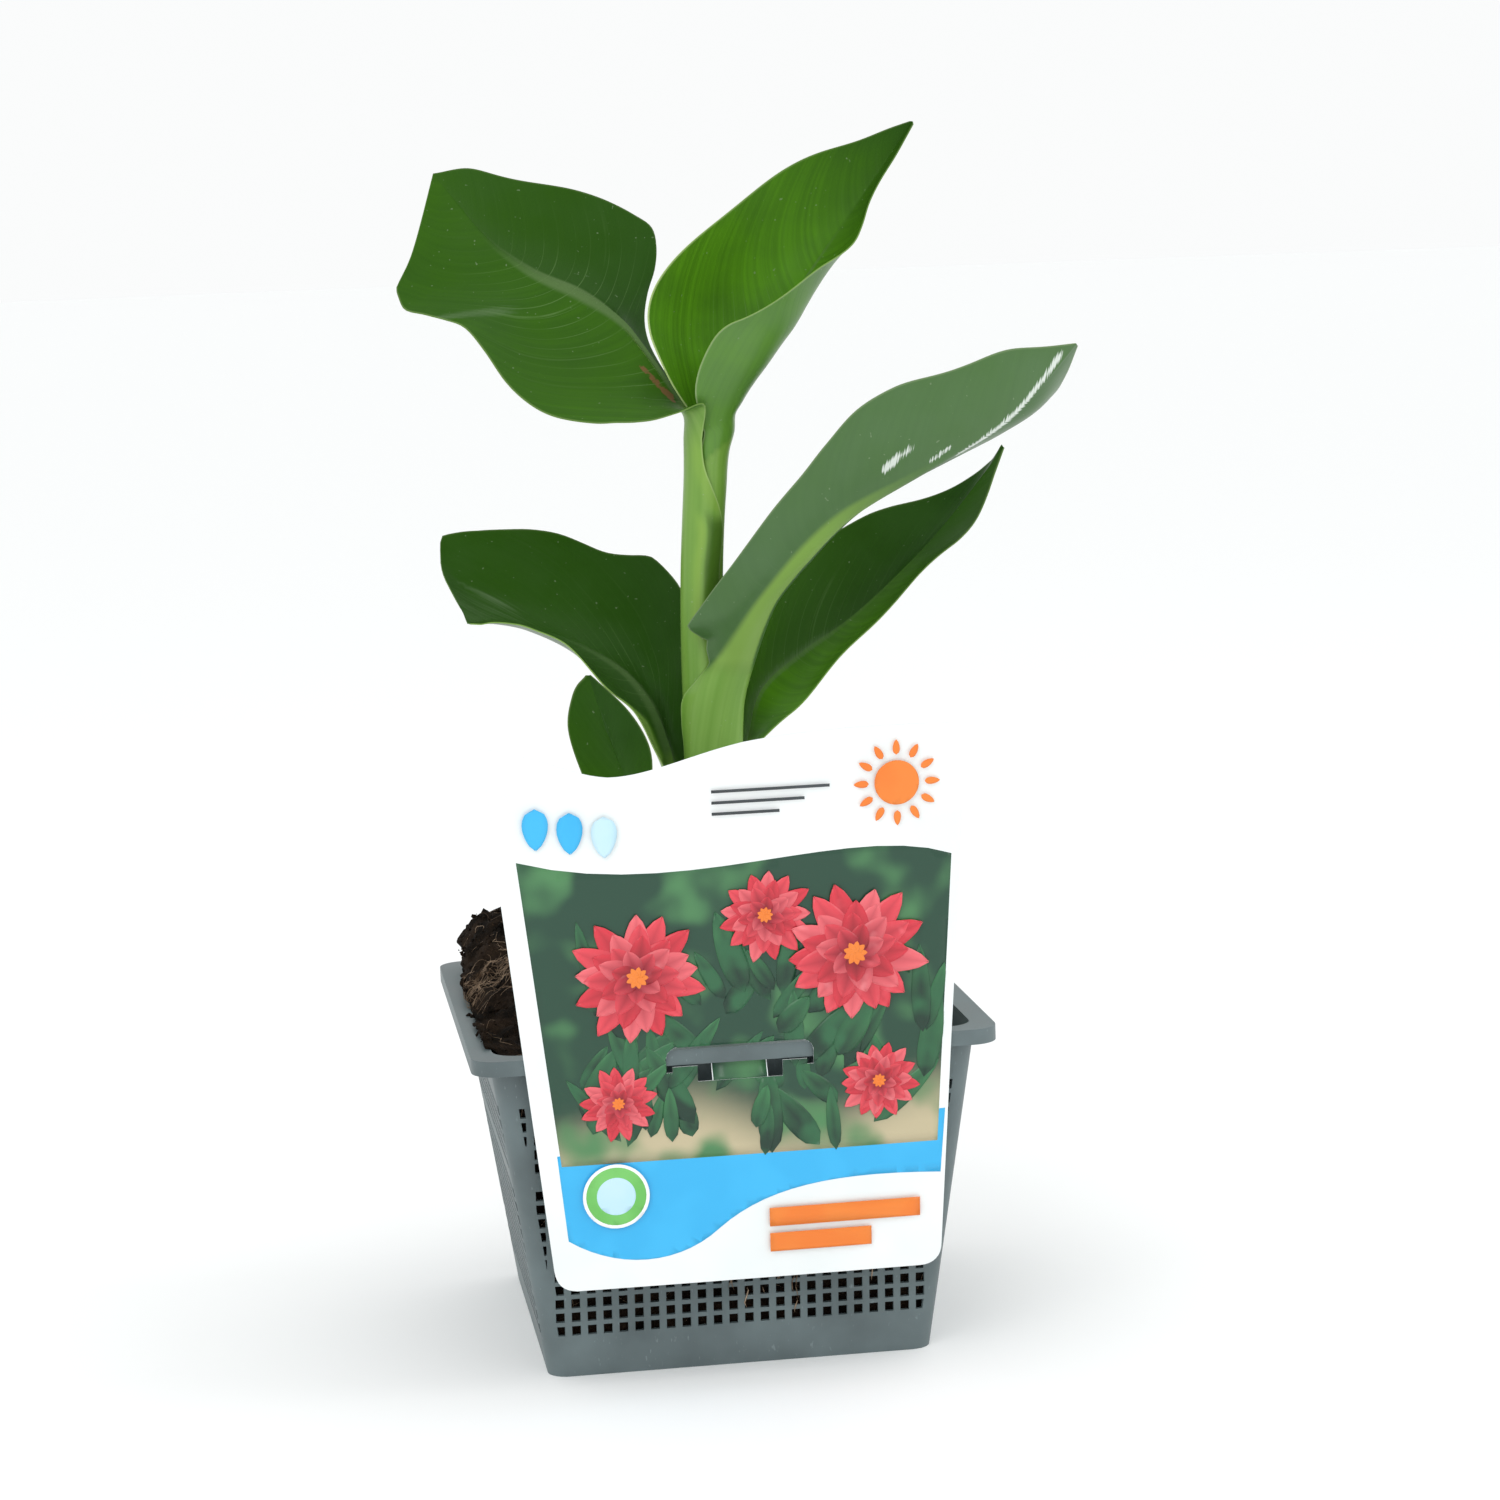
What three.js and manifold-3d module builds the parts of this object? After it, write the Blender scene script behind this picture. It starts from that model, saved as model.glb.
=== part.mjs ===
// A young canna lily in a square lattice pot, with its root ball and a hanging plant label.
// Millimetres, +Z up. The origin is the middle of the pot's base, on the ground.
// The front of the pot, where the label hangs, faces -Y.
import * as THREE from 'three';
import { mergeVertices } from 'three/addons/utils/BufferGeometryUtils.js';
import Module from 'manifold-3d';

const wasm = await Module();
wasm.setup();

// ---- Driving dimensions ----

// Pot: a square, tapered lattice basket with an outward rim and a short skirt.
const POT_HEIGHT = 124;
const POT_BASE_HALF = 71;
const POT_TOP_HALF = 88.6;
const POT_WALL = 1.8;
const POT_FLOOR = 2.6;
const RIM_HALF = 95;
const RIM_THICKNESS = 1.8;
const SKIRT_DEPTH = 5.6;
const SKIRT_THICKNESS = 1.6;
const POT_BASE_CORNER = 7.5;
const POT_TOP_CORNER = 9;
const RIM_CORNER = 10;
const CORNER_STEPS = 5;

// Lattice: square openings in rows and columns, with one solid band between two fields.
const OPENING_SIZE = 8;
const OPENING_COLUMNS = 8;
const COLUMN_PITCH = 14;
const OPENING_ROWS = [24, 38, 52, 66, 88, 102];
const FIELD_TOP_HALF = 60;
const FIELD_BOTTOM_HALF = 50;

// Root ball and soil. It is highest in the back left corner, and a low mound rises round the stem.
const SOIL_CLEARANCE = 0.5;
const SOIL_FRONT_LEVEL = 121;
const SOIL_SIDE_TOP = 118;
const SOIL_BACK_RISE = 30;
const SOIL_RIGHT_SHARE = 0.4;
const SOIL_MOUND = 5;
const SOIL_MOUND_SPREAD = 1800;
const SOIL_EDGE_DROP = 4;
const SOIL_CREST_DROP = 5;
const SOIL_EDGE_START = 0.8;
// Lumps are two crossed waves: their height, and their turns for a millimetre along x and y.
const SOIL_LUMPS = [
  { height: 1.4, alongX: 0.31, alongY: 0.27, start: 0.4 },
  { height: 0.84, alongX: 0.73, alongY: 0.41, start: 1.3 },
];
const SOIL_FLAT_STEPS = 10;
const SOIL_CORNER_STEPS = 2;
const SOIL_SIDE_RINGS = 5;
const SOIL_TOP_RINGS = 10;

// Stem and the sheaths that wrap it.
const STEM_X = 5;
const STEM_FOOT = 106;
const STEM_TOP = 337;
const STEM_RADIUS = 6.8;
const STEM_SIDES = 24;
const STEM_SECTIONS = [
  { z: STEM_FOOT, radius: STEM_RADIUS, shift: 0 },
  { z: 160, radius: STEM_RADIUS, shift: 0 },
  { z: 215, radius: STEM_RADIUS, shift: 0 },
  { z: 262, radius: STEM_RADIUS, shift: 0 },
  { z: 290, radius: STEM_RADIUS, shift: 0 },
  { z: 306, radius: STEM_RADIUS, shift: 0.2 },
  { z: 318, radius: 6.3, shift: 0.6 },
  { z: 323.5, radius: 5.3, shift: 1 },
  { z: 330, radius: 4.4, shift: 1.4 },
  { z: STEM_TOP, radius: 3, shift: 2 },
];
const PLANTING_HOLE_RADIUS = 12.9;
const SHOOT_HOLE_RADIUS = 5;
const SHOOT_X = -11;
const SHOOT_Y = -12;
const HOLE_FLOOR = 105.7;
const HOLE_TOP = 180;

// Leaves.
const LEAF_THICKNESS = 0.8;
const BLADE_ROWS = 18;
const HALF_COLUMNS = 6;

// Label card hung on the rim: wider at its wavy top than at its foot.
const CARD_THICKNESS = 0.8;
const CARD_TILT = 0.09;
const CARD_FRONT = -96.3;
const CARD_TOP = 237;
const CARD_TOP_LEFT = -88.5;
const CARD_TOP_RIGHT = 83.5;
const CARD_FOOT = 37;
const CARD_FOOT_LEFT = -69;
const CARD_FOOT_RIGHT = 72;
const CARD_CORNER = 8;
// Its slot takes the rim. The tab is cut from the window below the slot and tucked behind the skirt.
const SLOT_HALF = 26.5;
const SLOT_TOP = 125.2;
const SLOT_CORNER = 4;
const SLOT_LEG_HALF = 24.2;
const SLOT_LEG_FOOT = 116;
const SLOT_LEDGE = 118;
const WINDOW_HALF = 15.3;
const WINDOW_FOOT = 112.2;
const TAB_HALF = 10;
const TAB_TOP = 121.4;
const TAB_BEND = 117.6;
const HOOK_GAP = 0.4;

const BACKWARDS = new THREE.Vector3(0, 1, 0);
const RIGHTWARDS = new THREE.Vector3(1, 0, 0);
const UP = new THREE.Vector3(0, 0, 1);

// ---- Small helpers ----

function lerp(a, b, share) {
  return a + (b - a) * share;
}

function smooth(edge0, edge1, value) {
  return THREE.MathUtils.smoothstep(value, edge0, edge1);
}

function material(colour, roughness) {
  return new THREE.MeshStandardMaterial({ color: colour, roughness, metalness: 0 });
}

function meshNamed(name, geometry, colour, roughness) {
  const mesh = new THREE.Mesh(geometry, material(colour, roughness));
  mesh.name = name;
  return mesh;
}

function solidFrom(geometry) {
  const plain = geometry.clone();
  plain.deleteAttribute('normal');
  plain.deleteAttribute('uv');
  const merged = mergeVertices(plain, 1e-4);
  return new wasm.Manifold(new wasm.Mesh({
    numProp: 3,
    vertProperties: new Float32Array(merged.attributes.position.array),
    triVerts: new Uint32Array(merged.index.array),
  }));
}

function geometryFrom(solid) {
  const { vertProperties, triVerts, numProp } = solid.getMesh();
  const geometry = new THREE.BufferGeometry();
  const positions = new Float32Array((vertProperties.length / numProp) * 3);
  for (let i = 0; i < positions.length / 3; i += 1) {
    positions.set(vertProperties.subarray(i * numProp, i * numProp + 3), i * 3);
  }
  geometry.setAttribute('position', new THREE.BufferAttribute(positions, 3));
  geometry.setIndex(new THREE.BufferAttribute(new Uint32Array(triVerts), 1));
  geometry.computeVertexNormals();
  return geometry;
}

// Joins closed rings of equal length, from the first to the last, and closes both ends
// with a fan round each end's middle point.
function loft(rings) {
  const sides = rings[0].length;
  const positions = rings.flat().flatMap((p) => [p.x, p.y, p.z]);
  const index = [];
  for (let r = 0; r + 1 < rings.length; r += 1) {
    for (let s = 0; s < sides; s += 1) {
      const a = r * sides + s;
      const b = r * sides + ((s + 1) % sides);
      index.push(a, b, b + sides, a, b + sides, a + sides);
    }
  }
  for (const [ring, first, outward] of [[rings[0], 0, false],
    [rings.at(-1), (rings.length - 1) * sides, true]]) {
    const middle = ring.reduce((sum, p) => sum.add(p), new THREE.Vector3()).divideScalar(sides);
    const centre = positions.length / 3;
    positions.push(middle.x, middle.y, middle.z);
    for (let s = 0; s < sides; s += 1) {
      const a = first + s;
      const b = first + ((s + 1) % sides);
      index.push(...(outward ? [a, b, centre] : [b, a, centre]));
    }
  }
  const geometry = new THREE.BufferGeometry();
  geometry.setAttribute('position', new THREE.Float32BufferAttribute(positions, 3));
  geometry.setIndex(index);
  geometry.computeVertexNormals();
  return geometry;
}

// ---- Pot ----

// A square with round corners, counterclockwise.
function squareOutline(half, corner) {
  const outline = new THREE.Shape();
  const flat = half - corner;
  outline.absarc(flat, flat, corner, 0, Math.PI / 2);
  outline.absarc(-flat, flat, corner, Math.PI / 2, Math.PI);
  outline.absarc(-flat, -flat, corner, Math.PI, Math.PI * 1.5);
  outline.absarc(flat, -flat, corner, Math.PI * 1.5, Math.PI * 2);
  outline.closePath();
  return outline;
}

// The same square as a ring of points at one height, with no points between its corners.
function squareRing(half, corner, z) {
  return squareOutline(half, corner).curves
    .filter((curve) => curve.isEllipseCurve)
    .flatMap((curve) => curve.getPoints(CORNER_STEPS))
    .map((p) => new THREE.Vector3(p.x, p.y, z));
}

function potHalf(z) {
  return lerp(POT_BASE_HALF, POT_TOP_HALF, z / POT_HEIGHT);
}

function potCorner(z) {
  return lerp(POT_BASE_CORNER, POT_TOP_CORNER, z / POT_HEIGHT);
}

function latticeCutters() {
  const cutters = [];
  const through = 2 * RIM_HALF;
  for (const z of OPENING_ROWS) {
    const reach = lerp(FIELD_BOTTOM_HALF, FIELD_TOP_HALF, z / POT_HEIGHT);
    for (let column = 0; column < OPENING_COLUMNS; column += 1) {
      const offset = (column - (OPENING_COLUMNS - 1) / 2) * COLUMN_PITCH;
      if (Math.abs(offset) > reach) continue;
      const alongY = new THREE.BoxGeometry(OPENING_SIZE, through, OPENING_SIZE);
      alongY.translate(offset, 0, z);
      const alongX = new THREE.BoxGeometry(through, OPENING_SIZE, OPENING_SIZE);
      alongX.translate(0, offset, z);
      cutters.push(solidFrom(alongY), solidFrom(alongX));
    }
  }
  return cutters;
}

function makePot() {
  const underRim = POT_HEIGHT - RIM_THICKNESS;
  const skirtFoot = POT_HEIGHT - SKIRT_DEPTH;
  const skirtInner = RIM_HALF - SKIRT_THICKNESS;
  const skirtCorner = RIM_CORNER - SKIRT_THICKNESS;
  const rings = [
    squareRing(potHalf(0), POT_BASE_CORNER, 0),
    squareRing(potHalf(underRim), potCorner(underRim), underRim),
    squareRing(skirtInner, skirtCorner, underRim),
    squareRing(skirtInner, skirtCorner, skirtFoot),
    squareRing(RIM_HALF, RIM_CORNER, skirtFoot),
    squareRing(RIM_HALF, RIM_CORNER, POT_HEIGHT),
    squareRing(POT_TOP_HALF - POT_WALL, POT_TOP_CORNER - POT_WALL, POT_HEIGHT),
    squareRing(potHalf(POT_FLOOR) - POT_WALL, POT_BASE_CORNER - POT_WALL, POT_FLOOR),
  ];
  let pot = solidFrom(loft(rings));
  for (const cutter of latticeCutters()) pot = pot.subtract(cutter);
  return geometryFrom(pot);
}

// ---- Root ball ----

// Gentle unevenness, the same at the same place.
function lumps(x, y) {
  return SOIL_LUMPS.reduce((sum, wave) => sum
    + wave.height * Math.sin(wave.alongX * x + wave.start) * Math.cos(wave.alongY * y), 0);
}

// How far the soil has risen at a place, from 0 at the front to 1 in the back left corner.
function soilRise(x, y) {
  const back = smooth(-POT_TOP_HALF, POT_TOP_HALF, y);
  const left = 1 - smooth(-POT_TOP_HALF, POT_TOP_HALF, x);
  return back * lerp(SOIL_RIGHT_SHARE, 1, left);
}

function soilLevel(x, y) {
  const mound = SOIL_MOUND * Math.exp(-((x - STEM_X) ** 2 + y ** 2) / SOIL_MOUND_SPREAD);
  return SOIL_FRONT_LEVEL + SOIL_BACK_RISE * soilRise(x, y) + mound + lumps(x, y);
}

// A ring of points on the soil, also between its corners, each at its own height.
function soilRing(half, corner, height) {
  return squareOutline(half, corner).curves
    .flatMap((curve) => curve
      .getPoints(curve.isEllipseCurve ? SOIL_CORNER_STEPS : SOIL_FLAT_STEPS)
      .slice(0, -1))
    .map((p) => new THREE.Vector3(p.x, p.y, height(p.x, p.y)));
}

function makeSoil(planting) {
  const foot = POT_FLOOR + SOIL_CLEARANCE;
  const rings = [];
  for (let i = 0; i <= SOIL_SIDE_RINGS; i += 1) {
    const share = i / SOIL_SIDE_RINGS;
    const z = lerp(foot, SOIL_SIDE_TOP, share);
    const half = potHalf(z) - POT_WALL - SOIL_CLEARANCE;
    rings.push(soilRing(half, potCorner(z), () => z));
  }
  const topHalf = potHalf(SOIL_SIDE_TOP) - POT_WALL - SOIL_CLEARANCE;
  for (let i = 0; i < SOIL_TOP_RINGS; i += 1) {
    const share = 1 - i / SOIL_TOP_RINGS;
    const edge = smooth(SOIL_EDGE_START, 1, share);
    rings.push(soilRing(topHalf * share, POT_TOP_CORNER * share, (x, y) => (
      soilLevel(x, y) - edge * (SOIL_EDGE_DROP + SOIL_CREST_DROP * soilRise(x, y)))));
  }
  let soil = solidFrom(loft(rings));
  for (const hole of planting) soil = soil.subtract(hole);
  return geometryFrom(soil);
}

function plainHole(x, y, radius) {
  const depth = HOLE_TOP - HOLE_FLOOR;
  const hole = new THREE.CylinderGeometry(radius, radius, depth, STEM_SIDES);
  hole.rotateX(Math.PI / 2);
  hole.translate(x, y, HOLE_FLOOR + depth / 2);
  return solidFrom(hole);
}

// ---- Stem and leaves ----

// The middle line of the stem, which leans gently to the right above the first leaves.
const stemLine = new THREE.CatmullRomCurve3([
  new THREE.Vector3(STEM_X, 0, STEM_FOOT),
  new THREE.Vector3(STEM_X, 0, 190),
  new THREE.Vector3(STEM_X, 0, 262),
  new THREE.Vector3(6.2, 0, 290),
  new THREE.Vector3(8.6, 0, 322),
  new THREE.Vector3(10.4, 0, STEM_TOP + 8),
], false, 'catmullrom', 0.5);

// Where the stem's middle line is at a height, found by halving.
function stemAt(z) {
  let low = 0;
  let high = 1;
  for (let i = 0; i < 30; i += 1) {
    const t = (low + high) / 2;
    if (stemLine.getPoint(t).z < z) low = t;
    else high = t;
  }
  const point = stemLine.getPoint(low);
  return new THREE.Vector3(point.x, point.y, z);
}

function circleRing(centre, radius, sides) {
  return Array.from({ length: sides }, (_, s) => {
    const angle = (s / sides) * Math.PI * 2;
    return new THREE.Vector3(centre.x + radius * Math.cos(angle),
      centre.y + radius * Math.sin(angle), centre.z);
  });
}

function makeStem() {
  return loft(STEM_SECTIONS.map(({ z, radius, shift }) => {
    const centre = stemAt(z);
    centre.x += shift;
    return circleRing(centre, radius, STEM_SIDES);
  }));
}

function points(list) {
  return list.map(([x, y, z]) => new THREE.Vector3(x, y, z));
}

function smoothCurve(list) {
  return new THREE.CatmullRomCurve3(points(list), false, 'catmullrom', 0.5);
}

function valueAt(list, t) {
  const place = t * (list.length - 1);
  const i = Math.min(Math.floor(place), list.length - 2);
  return lerp(list[i], list[i + 1], place - i);
}

// One row of points across a sheath, bent round the stem. Angles are in degrees,
// counterclockwise from +X, and a centre shift moves the row off the stem's middle line.
function sheathRow({ z, angle, left, right, radius, shift = [0, 0] }) {
  const centre = stemAt(z);
  const row = [];
  for (let c = HALF_COLUMNS; c >= -HALF_COLUMNS; c -= 1) {
    const turn = c > 0 ? left * (c / HALF_COLUMNS) : right * (c / HALF_COLUMNS);
    const a = THREE.MathUtils.degToRad(angle + turn);
    row.push(new THREE.Vector3(centre.x + shift[0] + radius * Math.cos(a),
      centre.y + shift[1] + radius * Math.sin(a), z));
  }
  return row;
}

// One row of points across a blade, from the left margin over the midrib to the right
// margin. Each half is hollow on its upper side by its bulge, a share of its width.
function bladeRow(blade, t) {
  const mid = blade.midribCurve.getPoint(t);
  const along = blade.midribCurve.getTangent(t);
  const half = (margin, bulges, side) => {
    const across = margin.getPoint(t).sub(mid);
    const upper = new THREE.Vector3().crossVectors(along, across).multiplyScalar(side).normalize();
    const depth = valueAt(bulges, t) * across.length();
    return Array.from({ length: HALF_COLUMNS }, (_, c) => {
      const u = (c + 1) / HALF_COLUMNS;
      return mid.clone().addScaledVector(across, u)
        .addScaledVector(upper, -depth * Math.sin(Math.PI * u ** 0.85));
    });
  };
  const left = half(blade.leftCurve, blade.leftBulge, 1).reverse();
  const right = half(blade.rightCurve, blade.rightBulge, -1);
  return [...left, mid, ...right];
}

// The rows of a leaf from its foot to its tip: first round the stem, then along the blade.
function leafRows(leaf) {
  const blade = {
    ...leaf,
    midribCurve: smoothCurve(leaf.midrib),
    leftCurve: smoothCurve(leaf.left),
    rightCurve: smoothCurve(leaf.right),
  };
  const rows = leaf.sheath.map(sheathRow);
  for (let i = 0; i <= BLADE_ROWS; i += 1) rows.push(bladeRow(blade, i / BLADE_ROWS));
  return rows;
}

// A sheet of even thickness round the rows. Both faces are split into triangles alike.
function makeLeaf(leaf) {
  const rows = leafRows(leaf);
  const width = rows[0].length;
  const normals = rows.map((row, r) => row.map((_, c) => {
    const along = new THREE.Vector3().subVectors(
      rows[Math.min(r + 1, rows.length - 1)][c], rows[Math.max(r - 1, 0)][c]);
    const across = new THREE.Vector3().subVectors(row[Math.min(c + 1, width - 1)], row[Math.max(c - 1, 0)]);
    return along.cross(across).normalize();
  }));
  const positions = [];
  for (const side of [1, -1]) {
    rows.forEach((row, r) => row.forEach((p, c) => {
      const moved = p.clone().addScaledVector(normals[r][c], (side * LEAF_THICKNESS) / 2);
      positions.push(moved.x, moved.y, moved.z);
    }));
  }
  const under = rows.length * width;
  const index = [];
  for (let r = 0; r + 1 < rows.length; r += 1) {
    for (let c = 0; c + 1 < width; c += 1) {
      const a = r * width + c;
      const b = a + 1;
      const d = a + width;
      const e = d + 1;
      index.push(a, d, e, a, e, b);
      index.push(under + a, under + e, under + d, under + a, under + b, under + e);
    }
  }
  const border = [];
  for (let c = 0; c + 1 < width; c += 1) border.push(c);
  for (let r = 0; r + 1 < rows.length; r += 1) border.push(r * width + width - 1);
  for (let c = width - 1; c > 0; c -= 1) border.push((rows.length - 1) * width + c);
  for (let r = rows.length - 1; r > 0; r -= 1) border.push(r * width);
  border.forEach((a, i) => {
    const b = border[(i + 1) % border.length];
    index.push(a, b, under + b, a, under + b, under + a);
  });
  const geometry = new THREE.BufferGeometry();
  geometry.setAttribute('position', new THREE.Float32BufferAttribute(positions, 3));
  geometry.setIndex(index);
  geometry.computeVertexNormals();
  return geometry;
}

// Each blade has a midrib, a left and a right margin, as seen from its foot with its
// upper side up, and the bulge of each half from foot to tip.
const leaves = {
  leaf_upper_left: {
    sheath: [
      { z: 107, angle: 150, left: 160, right: 110, radius: 7.8 },
      { z: 200, angle: 150, left: 160, right: 110, radius: 7.8 },
      { z: 262, angle: 150, left: 162, right: 108, radius: 7.8 },
      { z: 286, angle: 150, left: 165, right: 105, radius: 7.8 },
      { z: 306, angle: 150, left: 165, right: 95, radius: 7.8 },
      { z: 311, angle: 150, left: 150, right: 92, radius: 7.8 },
      { z: 317, angle: 150, left: 130, right: 88, radius: 7.8 },
      { z: 323, angle: 150, left: 112, right: 85, radius: 7.9 },
      { z: 334, angle: 150, left: 100, right: 80, radius: 8.4 },
    ],
    midrib: [[3, 4, 345], [-4, 9, 358], [-11, 17, 370], [-17, 26, 379], [-25, 34, 386], [-35, 41, 392],
      [-46, 46, 397], [-55, 52, 403], [-64, 58, 411], [-74, 66, 424], [-83, 76, 437]],
    left: [[8, -17, 344], [-9, -14, 344], [-22, -11, 343], [-35, -8, 342], [-50, -3, 347], [-64, 6, 359],
      [-76, 20, 377], [-88, 34, 384], [-100, 48, 389], [-93, 60, 408], [-83, 76, 437]],
    right: [[11, 9, 346], [1, 22, 354], [-6, 36, 369], [-6, 50, 383], [0, 60, 398], [0, 68, 414],
      [-14, 73, 423], [-32, 77, 429], [-49, 79, 434], [-68, 79, 438], [-83, 76, 437]],
    leftBulge: [0.2, 0.1, 0.08, 0.08, 0.08, 0.06, 0],
    rightBulge: [0.2, 0.18, 0.14, 0.1, 0.1, 0.08, 0],
  },
  leaf_top: {
    sheath: [
      { z: 325, angle: 15, left: 150, right: 150, radius: 6.3, shift: [1.2, 0] },
      { z: 330, angle: 15, left: 150, right: 145, radius: 6.7, shift: [1.4, -0.3] },
      { z: 337, angle: 15, left: 150, right: 140, radius: 7.4, shift: [2.2, -1] },
    ],
    midrib: [[20, -1, 345], [29, 2, 360], [40, 6, 378], [53, 8, 396], [72, 12, 420], [93, 10, 449]],
    left: [[3, -3, 345], [-6, -6, 361], [-11, -3, 381], [-3, 0, 397], [25, 6, 421], [57, 12, 438],
      [92, 10, 449]],
    right: [[6, -9, 341], [4, -17, 357], [12, -26, 374], [26, -26, 382], [46, -16, 392], [66, -4, 405],
      [76, 4, 422], [93, 9, 448]],
    leftBulge: [0.3, 0.25, 0.24, 0.18, 0.1, 0],
    rightBulge: [0.34, 0.34, 0.28, 0.2, 0.06, 0],
  },
  leaf_middle_right: {
    sheath: [
      { z: 107, angle: -78, left: 110, right: 110, radius: 9.1 },
      { z: 150, angle: -78, left: 110, right: 110, radius: 9.1 },
      { z: 196, angle: -78, left: 108, right: 108, radius: 9.3 },
    ],
    midrib: [[7, -12, 221], [10, -13, 238], [16, -15, 254], [27, -19, 275], [42, -24, 292], [58, -28, 306],
      [76, -31, 316], [99, -32, 328], [121, -30, 341], [145, -26, 365]],
    left: [[17, 5, 218], [18, 8, 235], [22, 14, 253], [30, 20, 275], [44, 22, 293], [61, 20, 311],
      [81, 12, 324], [108, 2, 333], [137, -10, 344], [146, -24, 364]],
    right: [[-4, -4, 220], [-4, -6, 238], [6, -10, 252], [-1, -14, 265], [16, -22, 292], [39, -32, 320],
      [58, -40, 344], [87, -42, 356], [114, -38, 363], [144, -27, 365]],
    leftBulge: [0.3, 0.24, 0.2, 0.14, 0.12, 0.1, 0.08, 0.1, 0.1, 0],
    rightBulge: [0.3, 0.24, 0.2, 0.14, 0.12, 0.12, 0.12, 0.1, 0.08, 0],
  },
  leaf_lower_right: {
    sheath: [
      { z: 107, angle: 35, left: 85, right: 85, radius: 11.9 },
      { z: 155, angle: 35, left: 80, right: 80, radius: 11.9 },
      { z: 180, angle: 35, left: 60, right: 65, radius: 13.5 },
    ],
    midrib: [[22, 13, 217], [29, 20, 236], [46, 30, 248], [67, 40, 259], [87, 47, 274], [109, 52, 294],
      [133, 50, 323]],
    left: [[17, 24, 215], [22, 38, 250], [41, 54, 277], [71, 66, 294], [99, 68, 302], [125, 60, 313],
      [132, 50, 324]],
    right: [[21, -1, 217], [32, 1, 225], [47, 8, 237], [68, 16, 256], [94, 28, 277], [119, 40, 297],
      [133, 50, 323]],
    leftBulge: [0.15, 0.12, 0.08, 0.08, 0.08, 0.05, 0],
    rightBulge: [0.15, 0.12, 0.1, 0.1, 0.1, 0.05, 0],
  },
  leaf_lower_left: {
    sheath: [
      { z: 107, angle: 155, left: 80, right: 80, radius: 10.6 },
      { z: 155, angle: 155, left: 78, right: 78, radius: 10.6 },
      { z: 185, angle: 155, left: 60, right: 70, radius: 11 },
    ],
    midrib: [[-8, 6, 217], [-13, 10, 233], [-22, 18, 246], [-37, 26, 256], [-53, 32, 263], [-68, 34, 267],
      [-81, 32, 267]],
    left: [[-13, -8, 214], [-23, -6, 236], [-34, -8, 248], [-47, 0, 260], [-59, 10, 267], [-69, 20, 267],
      [-80, 28, 267]],
    right: [[-1, 16, 217], [5, 34, 263], [-5, 55, 282], [-21, 62, 288], [-41, 68, 296], [-64, 72, 298],
      [-84, 70, 298], [-88, 60, 286], [-82, 38, 270]],
    leftBulge: [0.18, 0.12, 0.08, 0.08, 0.08, 0.05, 0],
    rightBulge: [0.18, 0.14, 0.14, 0.12, 0.12, 0.1, 0],
  },
  leaf_small_left: {
    sheath: [
      { z: 107, angle: 220, left: 90, right: 90, radius: 2.6, shift: [SHOOT_X - STEM_X, SHOOT_Y] },
      { z: 134, angle: 220, left: 90, right: 90, radius: 2.8, shift: [SHOOT_X - STEM_X - 1, SHOOT_Y - 1] },
    ],
    midrib: [[-18, -18, 165], [-22, -24, 186], [-27, -29, 204], [-32, -33, 219], [-37, -35, 234],
      [-42, -33, 252]],
    left: [[-21, -20, 165], [-34, -26, 190], [-45, -28, 213], [-50, -30, 232], [-48, -30, 245],
      [-43, -33, 252]],
    right: [[-15, -19, 165], [-16, -21, 188], [-19, -22, 204], [-19, -22, 221], [-28, -26, 239],
      [-41, -32, 252]],
    leftBulge: [0.2, 0.1, 0.08, 0.08, 0.08, 0],
    rightBulge: [0.2, 0.1, 0.08, 0.08, 0.08, 0],
  },
};

// ---- Label card ----

// The card leans with the pot's wall: further forward the higher it is.
function leanCard(geometry) {
  const position = geometry.attributes.position;
  for (let i = 0; i < position.count; i += 1) {
    const z = position.getZ(i);
    position.setY(i, position.getY(i) - (z - POT_HEIGHT) * CARD_TILT);
  }
  return geometry;
}

// The card's front, drawn flat: the foot with its round corners, then the wavy top edge.
function cardOutline() {
  const outline = new THREE.Shape();
  outline.moveTo(CARD_FOOT_LEFT + CARD_CORNER, CARD_FOOT);
  outline.lineTo(CARD_FOOT_RIGHT - CARD_CORNER, CARD_FOOT);
  outline.quadraticCurveTo(CARD_FOOT_RIGHT, CARD_FOOT, CARD_FOOT_RIGHT, CARD_FOOT + CARD_CORNER);
  outline.lineTo(CARD_TOP_RIGHT, CARD_TOP);
  outline.bezierCurveTo(55, 238, 28, 238, 4, 234.5);
  outline.bezierCurveTo(-15, 231, -30, 224, -44, 224.5);
  outline.bezierCurveTo(-58, 226, -70, 235, CARD_TOP_LEFT, CARD_TOP);
  outline.lineTo(CARD_FOOT_LEFT, CARD_FOOT + CARD_CORNER);
  outline.quadraticCurveTo(CARD_FOOT_LEFT, CARD_FOOT, CARD_FOOT_LEFT + CARD_CORNER, CARD_FOOT);
  return outline;
}

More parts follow.
